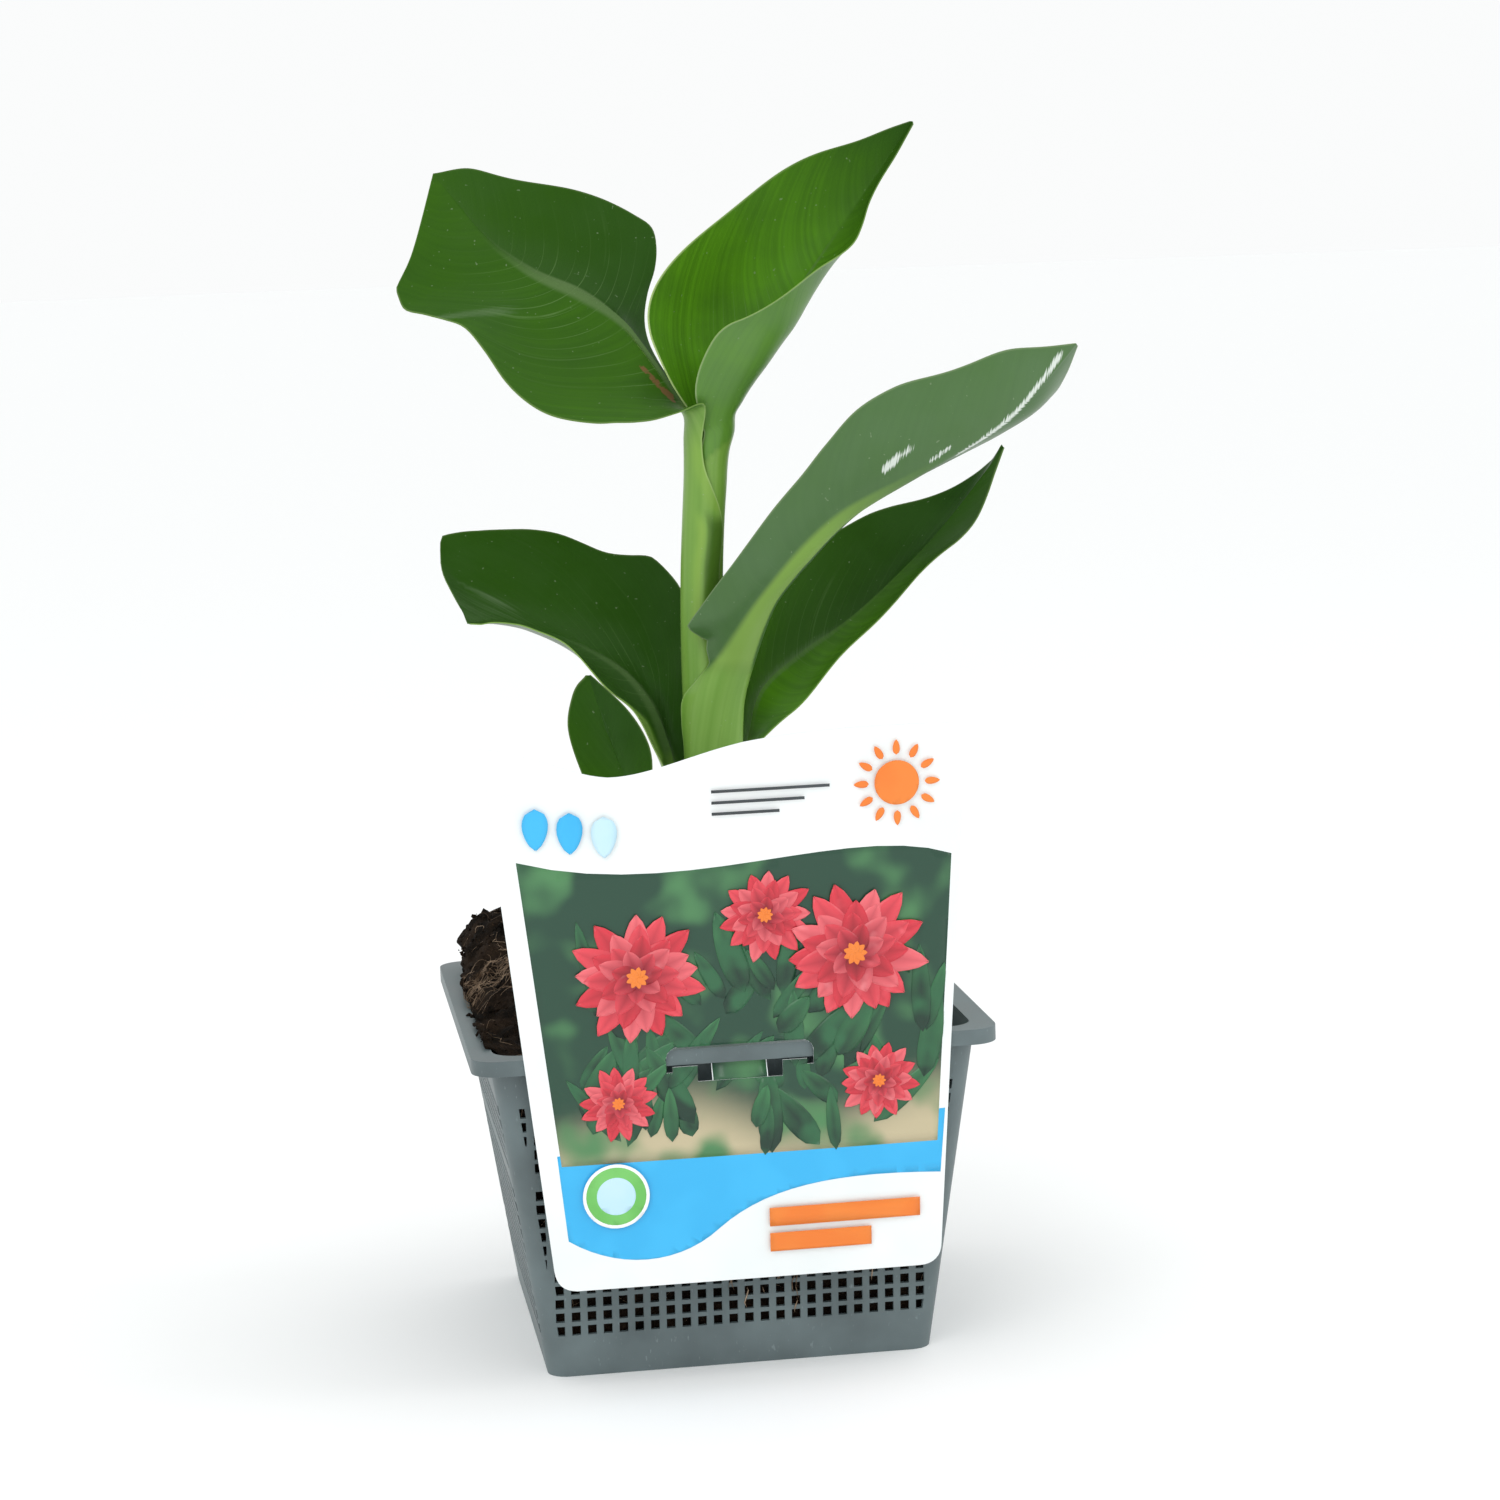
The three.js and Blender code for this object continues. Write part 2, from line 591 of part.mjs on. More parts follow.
// The slot with its two short legs, and the window from which the tab is cut.
function cardSlot() {
  const slot = new THREE.Path();
  slot.moveTo(-SLOT_HALF, SLOT_LEG_FOOT);
  slot.lineTo(-SLOT_HALF, SLOT_TOP - SLOT_CORNER);
  slot.quadraticCurveTo(-SLOT_HALF, SLOT_TOP, -SLOT_HALF + SLOT_CORNER, SLOT_TOP);
  slot.lineTo(SLOT_HALF - SLOT_CORNER, SLOT_TOP);
  slot.quadraticCurveTo(SLOT_HALF, SLOT_TOP, SLOT_HALF, SLOT_TOP - SLOT_CORNER);
  slot.lineTo(SLOT_HALF, SLOT_LEG_FOOT);
  slot.lineTo(SLOT_LEG_HALF, SLOT_LEG_FOOT);
  slot.lineTo(SLOT_LEG_HALF, SLOT_LEDGE);
  slot.lineTo(WINDOW_HALF, SLOT_LEDGE);
  slot.lineTo(WINDOW_HALF, WINDOW_FOOT);
  slot.lineTo(-WINDOW_HALF, WINDOW_FOOT);
  slot.lineTo(-WINDOW_HALF, SLOT_LEDGE);
  slot.lineTo(-SLOT_LEG_HALF, SLOT_LEDGE);
  slot.lineTo(-SLOT_LEG_HALF, SLOT_LEG_FOOT);
  slot.closePath();
  return slot;
}

// The tab, drawn from the side: it slopes back under the skirt and stands up behind it.
function makeTab() {
  const front = CARD_FRONT - CARD_THICKNESS - (WINDOW_FOOT - POT_HEIGHT) * CARD_TILT;
  const behind = -RIM_HALF + SKIRT_THICKNESS + HOOK_GAP;
  const root = WINDOW_FOOT - CARD_THICKNESS;
  const side = new THREE.Shape();
  side.moveTo(front, root);
  side.lineTo(behind, TAB_BEND);
  side.lineTo(behind, TAB_TOP);
  side.lineTo(behind + CARD_THICKNESS, TAB_TOP);
  side.lineTo(behind + CARD_THICKNESS, TAB_BEND - CARD_THICKNESS / 2);
  side.lineTo(front + CARD_THICKNESS, root - CARD_THICKNESS / 2);
  side.closePath();
  const tab = new THREE.ExtrudeGeometry(side, { depth: 2 * TAB_HALF, bevelEnabled: false });
  tab.translate(0, 0, -TAB_HALF);
  tab.applyMatrix4(new THREE.Matrix4().makeBasis(BACKWARDS, UP, RIGHTWARDS));
  return tab;
}

function makeCard() {
  const outline = cardOutline();
  outline.holes.push(cardSlot());
  const sheet = new THREE.ExtrudeGeometry(outline, {
    depth: CARD_THICKNESS, bevelEnabled: false, curveSegments: 6,
  });
  // The sheet is drawn lying down: its height turns up and its thickness forwards.
  sheet.rotateX(Math.PI / 2);
  sheet.translate(0, CARD_FRONT, 0);
  return geometryFrom(solidFrom(leanCard(sheet)).add(solidFrom(makeTab())));
}

// ---- The plant ----

const plant = new THREE.Group();
plant.name = 'canna_lily';

plant.add(meshNamed('pot', makePot(), '#5d686b', 0.55));
plant.add(meshNamed('root_ball', makeSoil([
  plainHole(STEM_X, 0, PLANTING_HOLE_RADIUS),
  plainHole(SHOOT_X, SHOOT_Y, SHOOT_HOLE_RADIUS),
]), '#231a14', 0.95));
plant.add(meshNamed('stem', makeStem(), '#86b24f', 0.5));
for (const [name, leaf] of Object.entries(leaves)) {
  plant.add(meshNamed(name, makeLeaf(leaf), '#3a6a2a', 0.45));
}
plant.add(meshNamed('care_label', makeCard(), '#f4f6f6', 0.35));

export default plant;
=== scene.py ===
"""A young canna lily in a square lattice pot, with its root ball and a hanging care label."""

import math
import random

import bmesh
import bpy
from bpy.props import FloatProperty, FloatVectorProperty, IntProperty, PointerProperty
from mathutils import Matrix, Vector, noise


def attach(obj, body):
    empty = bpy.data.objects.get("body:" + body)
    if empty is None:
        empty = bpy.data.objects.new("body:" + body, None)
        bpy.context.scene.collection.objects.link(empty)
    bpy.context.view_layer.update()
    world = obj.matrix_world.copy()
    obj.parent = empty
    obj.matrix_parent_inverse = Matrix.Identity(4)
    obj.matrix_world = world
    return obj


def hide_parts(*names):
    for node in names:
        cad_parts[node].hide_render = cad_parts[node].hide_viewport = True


bl_info = {
    "name": "Potted canna lily",
    "version": (1, 0, 0),
    "blender": (4, 5, 0),
    "location": "3D View > Sidebar > Canna",
    "description": "Builds a potted canna lily with its label, and a plain studio",
    "category": "Object",
}

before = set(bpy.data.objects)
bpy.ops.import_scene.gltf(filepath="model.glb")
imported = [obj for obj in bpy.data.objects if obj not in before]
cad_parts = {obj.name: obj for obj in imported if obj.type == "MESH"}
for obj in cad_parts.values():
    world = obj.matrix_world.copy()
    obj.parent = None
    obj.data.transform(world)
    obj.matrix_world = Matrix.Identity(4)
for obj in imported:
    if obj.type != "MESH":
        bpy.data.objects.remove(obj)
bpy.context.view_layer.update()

MM = 0.001
SEED = 7
# Settings of a Mix node that blends two colours.
BLEND = {"out": 2, "data_type": "RGBA"}

# Pot, in millimetres, as in the solid model.
POT_HEIGHT = 124.0
POT_BASE_HALF = 71.0
POT_TOP_HALF = 88.6
RIM_HALF = 95.0
SKIRT_DEPTH = 5.6
COLUMN_PITCH = 5.77
ROW_PITCH = 5.29
LOWEST_ROW = 17.8
WALL_SLOPE = (POT_TOP_HALF - POT_BASE_HALF) / POT_HEIGHT
SOIL_FRONT_LEVEL = 121.0
SOIL_BACK_RISE = 30.0
# The peat is a little higher round the stem: by how much, and over how wide a place, squared.
MOUND_HEIGHT = 5
MOUND_SPREAD = 1800
STEM_X = 5.0
SHOOT_X = -11.0
SHOOT_Y = -12.0

# The middle line of the stem.
STEM_LINE = [Vector(p) for p in ((5, 0, 106), (5, 0, 190), (5, 0, 262), (6.2, 0, 290),
                                 (8.6, 0, 322), (10.4, 0, 345))]
# Its cross-sections as height, radius and shift to the right.
STEM_SECTIONS = ((106, 6.8, 0), (160, 6.8, 0), (215, 6.8, 0), (262, 6.8, 0), (290, 6.8, 0),
                 (306, 6.8, 0.2), (318, 6.3, 0.6), (323.5, 5.3, 1), (330, 4.4, 1.4), (337, 3, 2))


# ---- Small helpers ----

def linear(hex_colour):
    """The linear colour of an sRGB hex value, with full alpha."""
    shares = [int(hex_colour[i:i + 2], 16) / 255 for i in (1, 3, 5)]
    return tuple(c / 12.92 if c <= 0.04045 else ((c + 0.055) / 1.055) ** 2.4
                 for c in shares) + (1.0,)


def lerp(a, b, share):
    """The value that lies a share of the way from a to b."""
    return a + (b - a) * share


def vectors(points):
    """A list of points as vectors."""
    return [Vector(point) for point in points]


def smooth(low, high, value):
    """A soft step from 0 at low to 1 at high."""
    share = min(max((value - low) / (high - low), 0.0), 1.0)
    return share * share * (3 - 2 * share)


def value_at(values, share):
    """The value a share of the way along a list of evenly spaced values."""
    place = min(max(share, 0.0), 1.0) * (len(values) - 1)
    i = min(int(place), len(values) - 2)
    return lerp(values[i], values[i + 1], place - i)


def add_node(tree, kind, inputs=None, out=0, **settings):
    """Adds one node with its settings and its inputs, and gives the output that is asked for.

    An input is a link, a number or a hex colour.
    """
    made = tree.nodes.new("ShaderNode" + kind)
    for name, value in settings.items():
        setattr(made, name, value)
    for key, value in (inputs or {}).items():
        if isinstance(value, bpy.types.NodeSocket):
            tree.links.new(value, made.inputs[key])
        else:
            made.inputs[key].default_value = linear(value) if isinstance(value, str) else value
    return made.outputs[out] if made.outputs else made


def new_material(name):
    """An empty node material and its tree."""
    material = bpy.data.materials.new(name)
    material.use_nodes = True
    material.node_tree.nodes.clear()
    return material, material.node_tree


def grid(bm, columns, rows, place):
    """Adds a grid, and puts each point where place says from its two shares, both from 0 to 1."""
    made = bmesh.ops.create_grid(bm, x_segments=columns, y_segments=rows, size=0.5, calc_uvs=True)
    for vert in made["verts"]:
        vert.co = place(vert, vert.co.x + 0.5, vert.co.y + 0.5)
    return made["verts"]


def parts_of(parts, kind):
    """The parts of one kind, such as BMVert, out of all that an operator gives back."""
    return [part for part in parts if isinstance(part, kind)]


def add_object(name, bm, materials):
    """Turns a bmesh into an object of the scene."""
    mesh = bpy.data.meshes.new(name)
    bm.to_mesh(mesh)
    bm.free()
    for material in materials:
        mesh.materials.append(material)
    made = bpy.data.objects.new(name, mesh)
    bpy.context.scene.collection.objects.link(made)
    return made


def finish_piece(name, bm, materials, node=None, smooth_faces=True, crease=None):
    """Turns a bmesh in millimetres into a piece that rides on the plant.

    Edges sharper than the crease, in degrees, stay crisp.
    """
    bmesh.ops.scale(bm, vec=(MM, MM, MM), verts=bm.verts)
    for face in bm.faces:
        face.smooth = smooth_faces
    if crease:
        limit = math.radians(crease)
        for edge in bm.edges:
            edge.smooth = edge.calc_face_angle(0.0) < limit
    piece = add_object(name, bm, materials)
    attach(piece, "root")
    if node:
        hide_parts(node)
    return piece


# ---- Materials ----

def pot_plastic(settings):
    """Moulded grey polypropylene: satin, with a fine moulded grain and a few pale scuffs."""
    material, tree = new_material("polypropylene_moulded_grey")
    place = add_node(tree, "TexCoord", out="Object")
    # Cloudy shade differences of about 25 mm, from uneven filler and dust.
    cloud = add_node(tree, "TexNoise", {"Vector": place, "Scale": 40.0, "Detail": 3.0})
    shade = add_node(tree, "MapRange", {0: cloud, 1: 0.3, 2: 0.7})
    colour = add_node(tree, "Mix", {0: shade, 6: (*settings.dark, 1.0), 7: (*settings.light, 1.0)},
                      **BLEND)
    # Scuffs: short pale rubs, 1 to 3 mm long.
    stretched = add_node(tree, "Mapping", {"Vector": place, "Scale": (1.0, 1.0, 0.35)})
    rub = add_node(tree, "TexNoise", {"Vector": stretched, "Scale": 900.0, "Detail": 4.0})
    scuff = add_node(tree, "MapRange", {0: rub, 1: 0.66, 2: 0.74, 4: 0.35})
    colour = add_node(tree, "Mix", {0: scuff, 6: colour, 7: "#93a0a1"}, **BLEND)
    gloss = add_node(tree, "MapRange", {0: cloud, 1: 0.3, 2: 0.7, 3: 0.42, 4: 0.55})
    # Moulded grain of about 0.6 mm, drawn a little coarser than life so that it shows.
    grain = add_node(tree, "TexNoise", {"Vector": place, "Scale": 1600.0, "Detail": 2.0})
    bump = add_node(tree, "Bump", {"Strength": 0.12, "Distance": 0.0002, "Height": grain})
    shader = add_node(tree, "BsdfPrincipled", {"Base Color": colour, "Roughness": gloss,
                                               "IOR": 1.49, "Normal": bump})
    add_node(tree, "OutputMaterial", {"Surface": shader})
    return material


def peat(settings):
    """Moist peat compost: nearly black, crumbly and fibrous, with lighter brown crumbs."""
    material, tree = new_material("peat_moist_fibrous")
    place = add_node(tree, "TexCoord", out="Object")
    # Patches of 12 mm, and crumbs of 1 to 2 mm.
    patch = add_node(tree, "TexNoise", {"Vector": place, "Scale": 85.0, "Detail": 5.0})
    crumb = add_node(tree, "TexVoronoi", {"Vector": place, "Scale": 620.0, "Randomness": 1.0})
    fine = add_node(tree, "TexNoise", {"Vector": place, "Scale": 1400.0, "Detail": 6.0})
    damp = add_node(tree, "MapRange", {0: patch, 1: 0.35, 2: 0.68})
    colour = add_node(tree, "Mix", {0: damp, 6: (*settings.dark, 1.0), 7: (*settings.light, 1.0)},
                      **BLEND)
    # Threads of dry root in the peat, 0.3 mm thick and twisted.
    twist = add_node(tree, "TexNoise", {"Vector": place, "Scale": 240.0, "Detail": 3.0,
                                        "Distortion": 2.5})
    line = add_node(tree, "Math", {0: twist, 1: 0.5}, operation="SUBTRACT")
    line = add_node(tree, "Math", {0: line}, operation="ABSOLUTE")
    thread = add_node(tree, "MapRange", {0: line, 2: 0.01, 3: 0.3, 4: 0.0})
    colour = add_node(tree, "Mix", {0: thread, 6: colour, 7: "#6b523a"}, **BLEND)
    height = add_node(tree, "Math", {0: crumb, 1: fine}, operation="ADD")
    bump = add_node(tree, "Bump", {"Strength": 0.9, "Distance": 0.0012, "Height": height})
    shader = add_node(tree, "BsdfPrincipled", {"Base Color": colour, "Roughness": 0.92,
                                               "Specular IOR Level": 0.06, "Normal": bump})
    add_node(tree, "OutputMaterial", {"Surface": shader})
    return material


def root_thread(settings):
    """Dry feeder roots: tan to brown threads with a dull, fibrous skin."""
    material, tree = new_material("feeder_root_dry")
    place = add_node(tree, "TexCoord", out="Object")
    # Colour changes from root to root and along each root, over about 8 mm.
    change = add_node(tree, "TexNoise", {"Vector": place, "Scale": 130.0, "Detail": 2.0})
    share = add_node(tree, "MapRange", {0: change, 1: 0.35, 2: 0.68})
    colour = add_node(tree, "Mix", {0: share, 6: "#523e2b", 7: (*settings.root, 1.0)}, **BLEND)
    shader = add_node(tree, "BsdfPrincipled", {"Base Color": colour, "Roughness": 0.8,
                                               "Specular IOR Level": 0.2})
    add_node(tree, "OutputMaterial", {"Surface": shader})
    return material


# What the measures of a leaf are called on its mesh.
LEAF_FIELDS = ("across", "margin", "vein", "rib_half", "rib_show", "sheath", "tone", "scar", "hem",
               "bend_sheen", "glare")


def leaf_skin(name, looks):
    """A leaf face: a cuticle over veins that curve out from the midrib, with a pale margin.

    The pattern follows the leaf through its own measures in millimetres: across and along it, from
    its margin, and along its veins.
    """
    material, tree = new_material(name)
    place = add_node(tree, "TexCoord", out="Object")
    across, margin, vein, rib_half, rib_show, sheath, tone, scar, hem = (
        add_node(tree, "Attribute", out="Fac", attribute_name=field) for field in LEAF_FIELDS[:9])
    # Soft clouding over 25 mm.
    cloud = add_node(tree, "TexNoise", {"Vector": place, "Scale": 40.0, "Detail": 3.0})
    cloudy = add_node(tree, "MapRange", {0: cloud, 1: 0.35, 2: 0.7, 4: looks["cloud"]})
    # Broad soft stripes that run with the veins, about 4 mm apart, and fine ones 0.8 mm apart.
    along_vein = add_node(tree, "Math", {0: across, 1: 0.03}, operation="MULTIPLY")
    streak_place = add_node(tree, "CombineXYZ", {0: vein, 1: along_vein})
    broad = add_node(tree, "TexNoise", {"Vector": streak_place, "Scale": 0.24, "Detail": 1.0})
    streak = add_node(tree, "TexNoise", {"Vector": streak_place, "Scale": 1.1, "Detail": 3.0})
    stripes = add_node(tree, "Math", {0: streak, 1: 0.35, 2: broad}, operation="MULTIPLY_ADD")
    dim = add_node(tree, "MapRange", {0: stripes, 1: 0.5, 2: 0.85, 4: looks["streak"]})
    # Main veins, 8 mm apart and 0.4 mm wide. Their spacing wanders, and only some of them show.
    wander = add_node(tree, "Math", {0: broad, 1: 9.0, 2: vein}, operation="MULTIPLY_ADD")
    to_vein = add_node(tree, "Math", {0: wander, 1: 4.0}, operation="PINGPONG")
    main_vein = add_node(tree, "MapRange", {0: to_vein, 1: 0.05, 2: 0.5, 3: looks["vein"], 4: 0.0},
                         interpolation_type="SMOOTHSTEP")
    shown = add_node(tree, "MapRange", {0: cloud, 1: 0.4, 2: 0.55, 3: 0.2})
    # They fade out towards the margin, far from the midrib and towards the tip.
    off_rib = add_node(tree, "Math", {0: across}, operation="ABSOLUTE")
    inside = add_node(tree, "MapRange", {0: margin, 1: 3.0, 2: 20.0, 3: 0.1})
    near_rib = add_node(tree, "MapRange", {0: off_rib, 1: 8.0, 2: 36.0, 3: 1.0, 4: 0.25})
    from_tip = add_node(tree, "MapRange", {0: rib_show, 3: 0.12})
    for share in (shown, inside, near_rib, from_tip):
        main_vein = add_node(tree, "Math", {0: main_vein, 1: share}, operation="MULTIPLY")
    # The midrib: a pale band with soft edges that fades out towards the tip.
    off_rib = add_node(tree, "Math", {0: off_rib, 1: rib_half}, operation="DIVIDE")
    inner, outer = looks["rib_soft"]
    rib = add_node(tree, "MapRange", {0: off_rib, 1: inner, 2: outer, 3: looks["rib"], 4: 0.0},
                   interpolation_type="SMOOTHSTEP")
    rib = add_node(tree, "Math", {0: rib, 1: rib_show}, operation="MULTIPLY")
    # The sheath: faint lengthwise fibres 1.5 mm apart on pale yellow-green.
    lengthwise = add_node(tree, "Math", {0: vein, 1: 0.012}, operation="MULTIPLY")
    fibre_place = add_node(tree, "CombineXYZ", {0: across, 1: lengthwise, 2: 3.0})
    fibre = add_node(tree, "TexNoise", {"Vector": fibre_place, "Scale": 0.35, "Detail": 2.5})
    stripe = add_node(tree, "MapRange", {0: fibre, 1: 0.3, 2: 0.7})
    sheath_colour = add_node(tree, "Mix", {0: stripe, 6: looks["sheath_dark"],
                                           7: looks["sheath_light"]}, **BLEND)
    # Painted light and shade: where its tone is high it turns yellower, lit, and where low, dark
    # and shaded.
    for full, colour in ((1.0, "#90b548"), (0.0, "#43681c")):
        painted_shade_and_light = add_node(tree, "MapRange", {0: tone, 1: 0.5, 2: full, 4: 0.9})
        sheath_colour = add_node(tree, "Mix", {0: painted_shade_and_light, 6: sheath_colour, 7: colour}, **BLEND)
    # A grey-green sheen where the blade bends over or faces the light, streaked along the veins.
    sheen = add_node(tree, "Attribute", out="Fac", attribute_name=looks["sheen_field"])
    streaky = add_node(tree, "Math", {0: sheen, 1: streak}, operation="ADD")
    low, high = looks["sheen_range"]
    sheen = add_node(tree, "MapRange", {0: streaky, 1: low, 2: high, 4: looks["sheen"]})
    # The margin: a clear, pale hem 0.5 mm wide.
    edge = add_node(tree, "MapRange", {0: margin, 1: 0.3, 2: 0.75, 3: 1.0, 4: 0.0})
    edge = add_node(tree, "Math", {0: edge, 1: hem}, operation="MULTIPLY")
    # A dry brown graze, broken up by spots of 2 mm.
    spots = add_node(tree, "TexNoise", {"Vector": place, "Scale": 520.0, "Detail": 5.0})
    dry = add_node(tree, "Math", {0: spots, 1: scar}, operation="MULTIPLY")
    dry = add_node(tree, "MapRange", {0: dry, 1: 0.3, 2: 0.44, 4: 0.85})
    # A few pale specks of dust, 0.5 mm across.
    dust = add_node(tree, "TexNoise", {"Vector": place, "Scale": 800.0, "Detail": 0.0})
    dust = add_node(tree, "MapRange", {0: dust, 1: 0.82, 2: 0.86, 4: 0.25})
    # The blade's own green, and the colours that lie over it one after the other.
    base = add_node(tree, "Mix", {0: tone, 6: looks["dark"], 7: looks["bright"]}, **BLEND)
    for share, colour in ((cloudy, looks["cloud_colour"]), (dim, looks["streak_colour"]),
                          (main_vein, looks["vein_colour"]), (rib, looks["rib_colour"]),
                          (sheath, sheath_colour), (sheen, looks["sheen_colour"]),
                          (edge, looks["hem_colour"]), (dry, "#7c5a3c"), (dust, "#a3b394")):
        base = add_node(tree, "Mix", {0: share, 6: base, 7: colour}, **BLEND)
    # Relief: the blade is quilted between its veins and finely ribbed.
    quilt = add_node(tree, "Math", {0: main_vein, 1: looks["quilt"], 2: broad},
                     operation="MULTIPLY_ADD")
    ribbed = add_node(tree, "Math", {0: streak, 1: 0.25, 2: quilt}, operation="MULTIPLY_ADD")
    bump = add_node(tree, "Bump", {"Strength": looks["relief"], "Distance": 0.0005,
                                   "Height": ribbed})
    # The midrib is duller than the blade.
    low, high = looks["gloss"]
    gloss = add_node(tree, "MapRange", {0: cloud, 1: 0.3, 2: 0.7, 3: low, 4: high})
    gloss = add_node(tree, "Math", {0: rib, 1: 0.3, 2: gloss}, operation="MULTIPLY_ADD")
    shader = add_node(tree, "BsdfPrincipled", {"Base Color": base, "Roughness": gloss, "IOR": 1.45,
                                               "Specular IOR Level": looks["shine"],
                                               "Normal": bump})
    add_node(tree, "OutputMaterial", {"Surface": shader})
    return material


LEAF_LOOKS = {
    # Upper face: deep green with a satin cuticle that takes little shine.
    "canna_leaf_upper_satin": dict(
        dark="#1d4009", bright="#5b961c", cloud=0.5, cloud_colour="#31541f", streak=0.32,
        streak_colour="#274d10", vein=0.5, vein_colour="#6a8a52", rib=0.85, rib_soft=(0.5, 1.15),
        rib_colour="#5a7546", sheath_dark="#76a03f", sheath_light="#84ab4c", sheen=0.5,
        sheen_colour="#647c58", sheen_field="bend_sheen", sheen_range=(1.05, 1.6),
        hem_colour="#bdd08f", quilt=-0.6, relief=0.35, gloss=(0.36, 0.46), shine=0.07),
    # Under face: paler and greyer, with a thin waxy bloom that shines more.
    "canna_leaf_under_waxy": dict(
        dark="#3e6036", bright="#5f9032", cloud=0.4, cloud_colour="#53734c", streak=0.15,
        streak_colour="#3b5c33", vein=0.08, vein_colour="#6d8f5c", rib=1.0, rib_soft=(0.6, 1.12),
        rib_colour="#7ca146", sheath_dark="#6a9638", sheath_light="#7ca449", sheen=0.9,
        sheen_colour="#dfe7df", sheen_field="glare", sheen_range=(0.9, 1.04),
        hem_colour="#d5e2b4", quilt=0.4, relief=0.12, gloss=(0.3, 0.42), shine=0.45),
    # The cut-like edge of the blade, seen only from the side.
    "canna_leaf_margin_clear": dict(
        dark="#3c6020", bright="#7da347", cloud=0.1, cloud_colour="#557a35", streak=0.1,
        streak_colour="#456a2a", vein=0.0, vein_colour="#557a35", rib=0.0, rib_soft=(0.5, 1.15),
        rib_colour="#7f9f55", sheath_dark="#6f9440", sheath_light="#7ea24b", sheen=0.0,
        sheen_colour="#5d7f40", sheen_field="bend_sheen", sheen_range=(0.85, 1.5),
        hem_colour="#a9c27a", quilt=0.0, relief=0.1, gloss=(0.4, 0.45), shine=0.12),
}


def stem_skin(settings):
    """The inner stem: smooth, juicy green, only faintly striped lengthwise."""
    material, tree = new_material("pseudostem_smooth_fresh")
    place = add_node(tree, "TexCoord", out="Object")
    # Soft stripes 4 mm apart that run up the stem.
    stretched = add_node(tree, "Mapping", {"Vector": place, "Scale": (1.0, 1.0, 0.02)})
    fibre = add_node(tree, "TexNoise", {"Vector": stretched, "Scale": 240.0, "Detail": 2.0})
    share = add_node(tree, "MapRange", {0: fibre, 1: 0.35, 2: 0.65})
    colour = add_node(tree, "Mix", {0: share, 6: (*settings.dark, 1.0), 7: (*settings.light, 1.0)},
                      **BLEND)
    bump = add_node(tree, "Bump", {"Strength": 0.1, "Distance": 0.0003, "Height": fibre})
    shader = add_node(tree, "BsdfPrincipled", {"Base Color": colour, "Roughness": 0.45, "IOR": 1.42,
                                               "Normal": bump, "Specular IOR Level": 0.15})
    add_node(tree, "OutputMaterial", {"Surface": shader})
    return material


def label_film(settings):
    """White synthetic label film: smooth, cool white, softly glossy, with slight handling marks."""
    material, tree = new_material("label_film_white_gloss")
    place = add_node(tree, "TexCoord", out="Object")
    # Faint shade differences over 40 mm, as on a sheet that isn't quite flat.
    cloud = add_node(tree, "TexNoise", {"Vector": place, "Scale": 25.0, "Detail": 2.0})
    share = add_node(tree, "MapRange", {0: cloud, 1: 0.35, 2: 0.65})
    colour = add_node(tree, "Mix", {0: share, 6: (*settings.white, 1.0), 7: "#eef4f4"}, **BLEND)
    gloss = add_node(tree, "MapRange", {0: cloud, 1: 0.3, 2: 0.7, 3: 0.28, 4: 0.36})
    # The film's own fine unevenness, about 1 mm across.
    fine = add_node(tree, "TexNoise", {"Vector": place, "Scale": 900.0, "Detail": 2.0})
    bump = add_node(tree, "Bump", {"Strength": 0.04, "Distance": 0.0002, "Height": fine})
    shader = add_node(tree, "BsdfPrincipled", {"Base Color": colour, "Roughness": gloss, "IOR": 1.5,
                                               "Normal": bump})
    add_node(tree, "OutputMaterial", {"Surface": shader})
    return material


def print_ink(name, inner, outer, mottle, mottle_size=18.0, shares=(0.4, 0.65)):
    """Printed ink under a clear gloss coat: it shades from inner to outer, with soft mottling."""
    material, tree = new_material(name)
    place = add_node(tree, "TexCoord", out="Object")
    shade = add_node(tree, "Attribute", out="Fac", attribute_name="shade")
    colour = add_node(tree, "Mix", {0: shade, 6: inner, 7: outer}, **BLEND)
    # Soft patches as large as mottle_size in millimetres.
    cloud = add_node(tree, "TexNoise", {"Vector": place, "Scale": 1000.0 / mottle_size,
                                        "Detail": 1.5})
    share = add_node(tree, "MapRange", {0: cloud, 1: shares[0], 2: shares[1]},
                     interpolation_type="SMOOTHSTEP")
    colour = add_node(tree, "Mix", {0: share, 6: colour, 7: mottle}, **BLEND)
    shader = add_node(tree, "BsdfPrincipled", {"Base Color": colour, "Roughness": 0.3, "IOR": 1.5})
    add_node(tree, "OutputMaterial", {"Surface": shader})
    return material


# ---- Pot ----

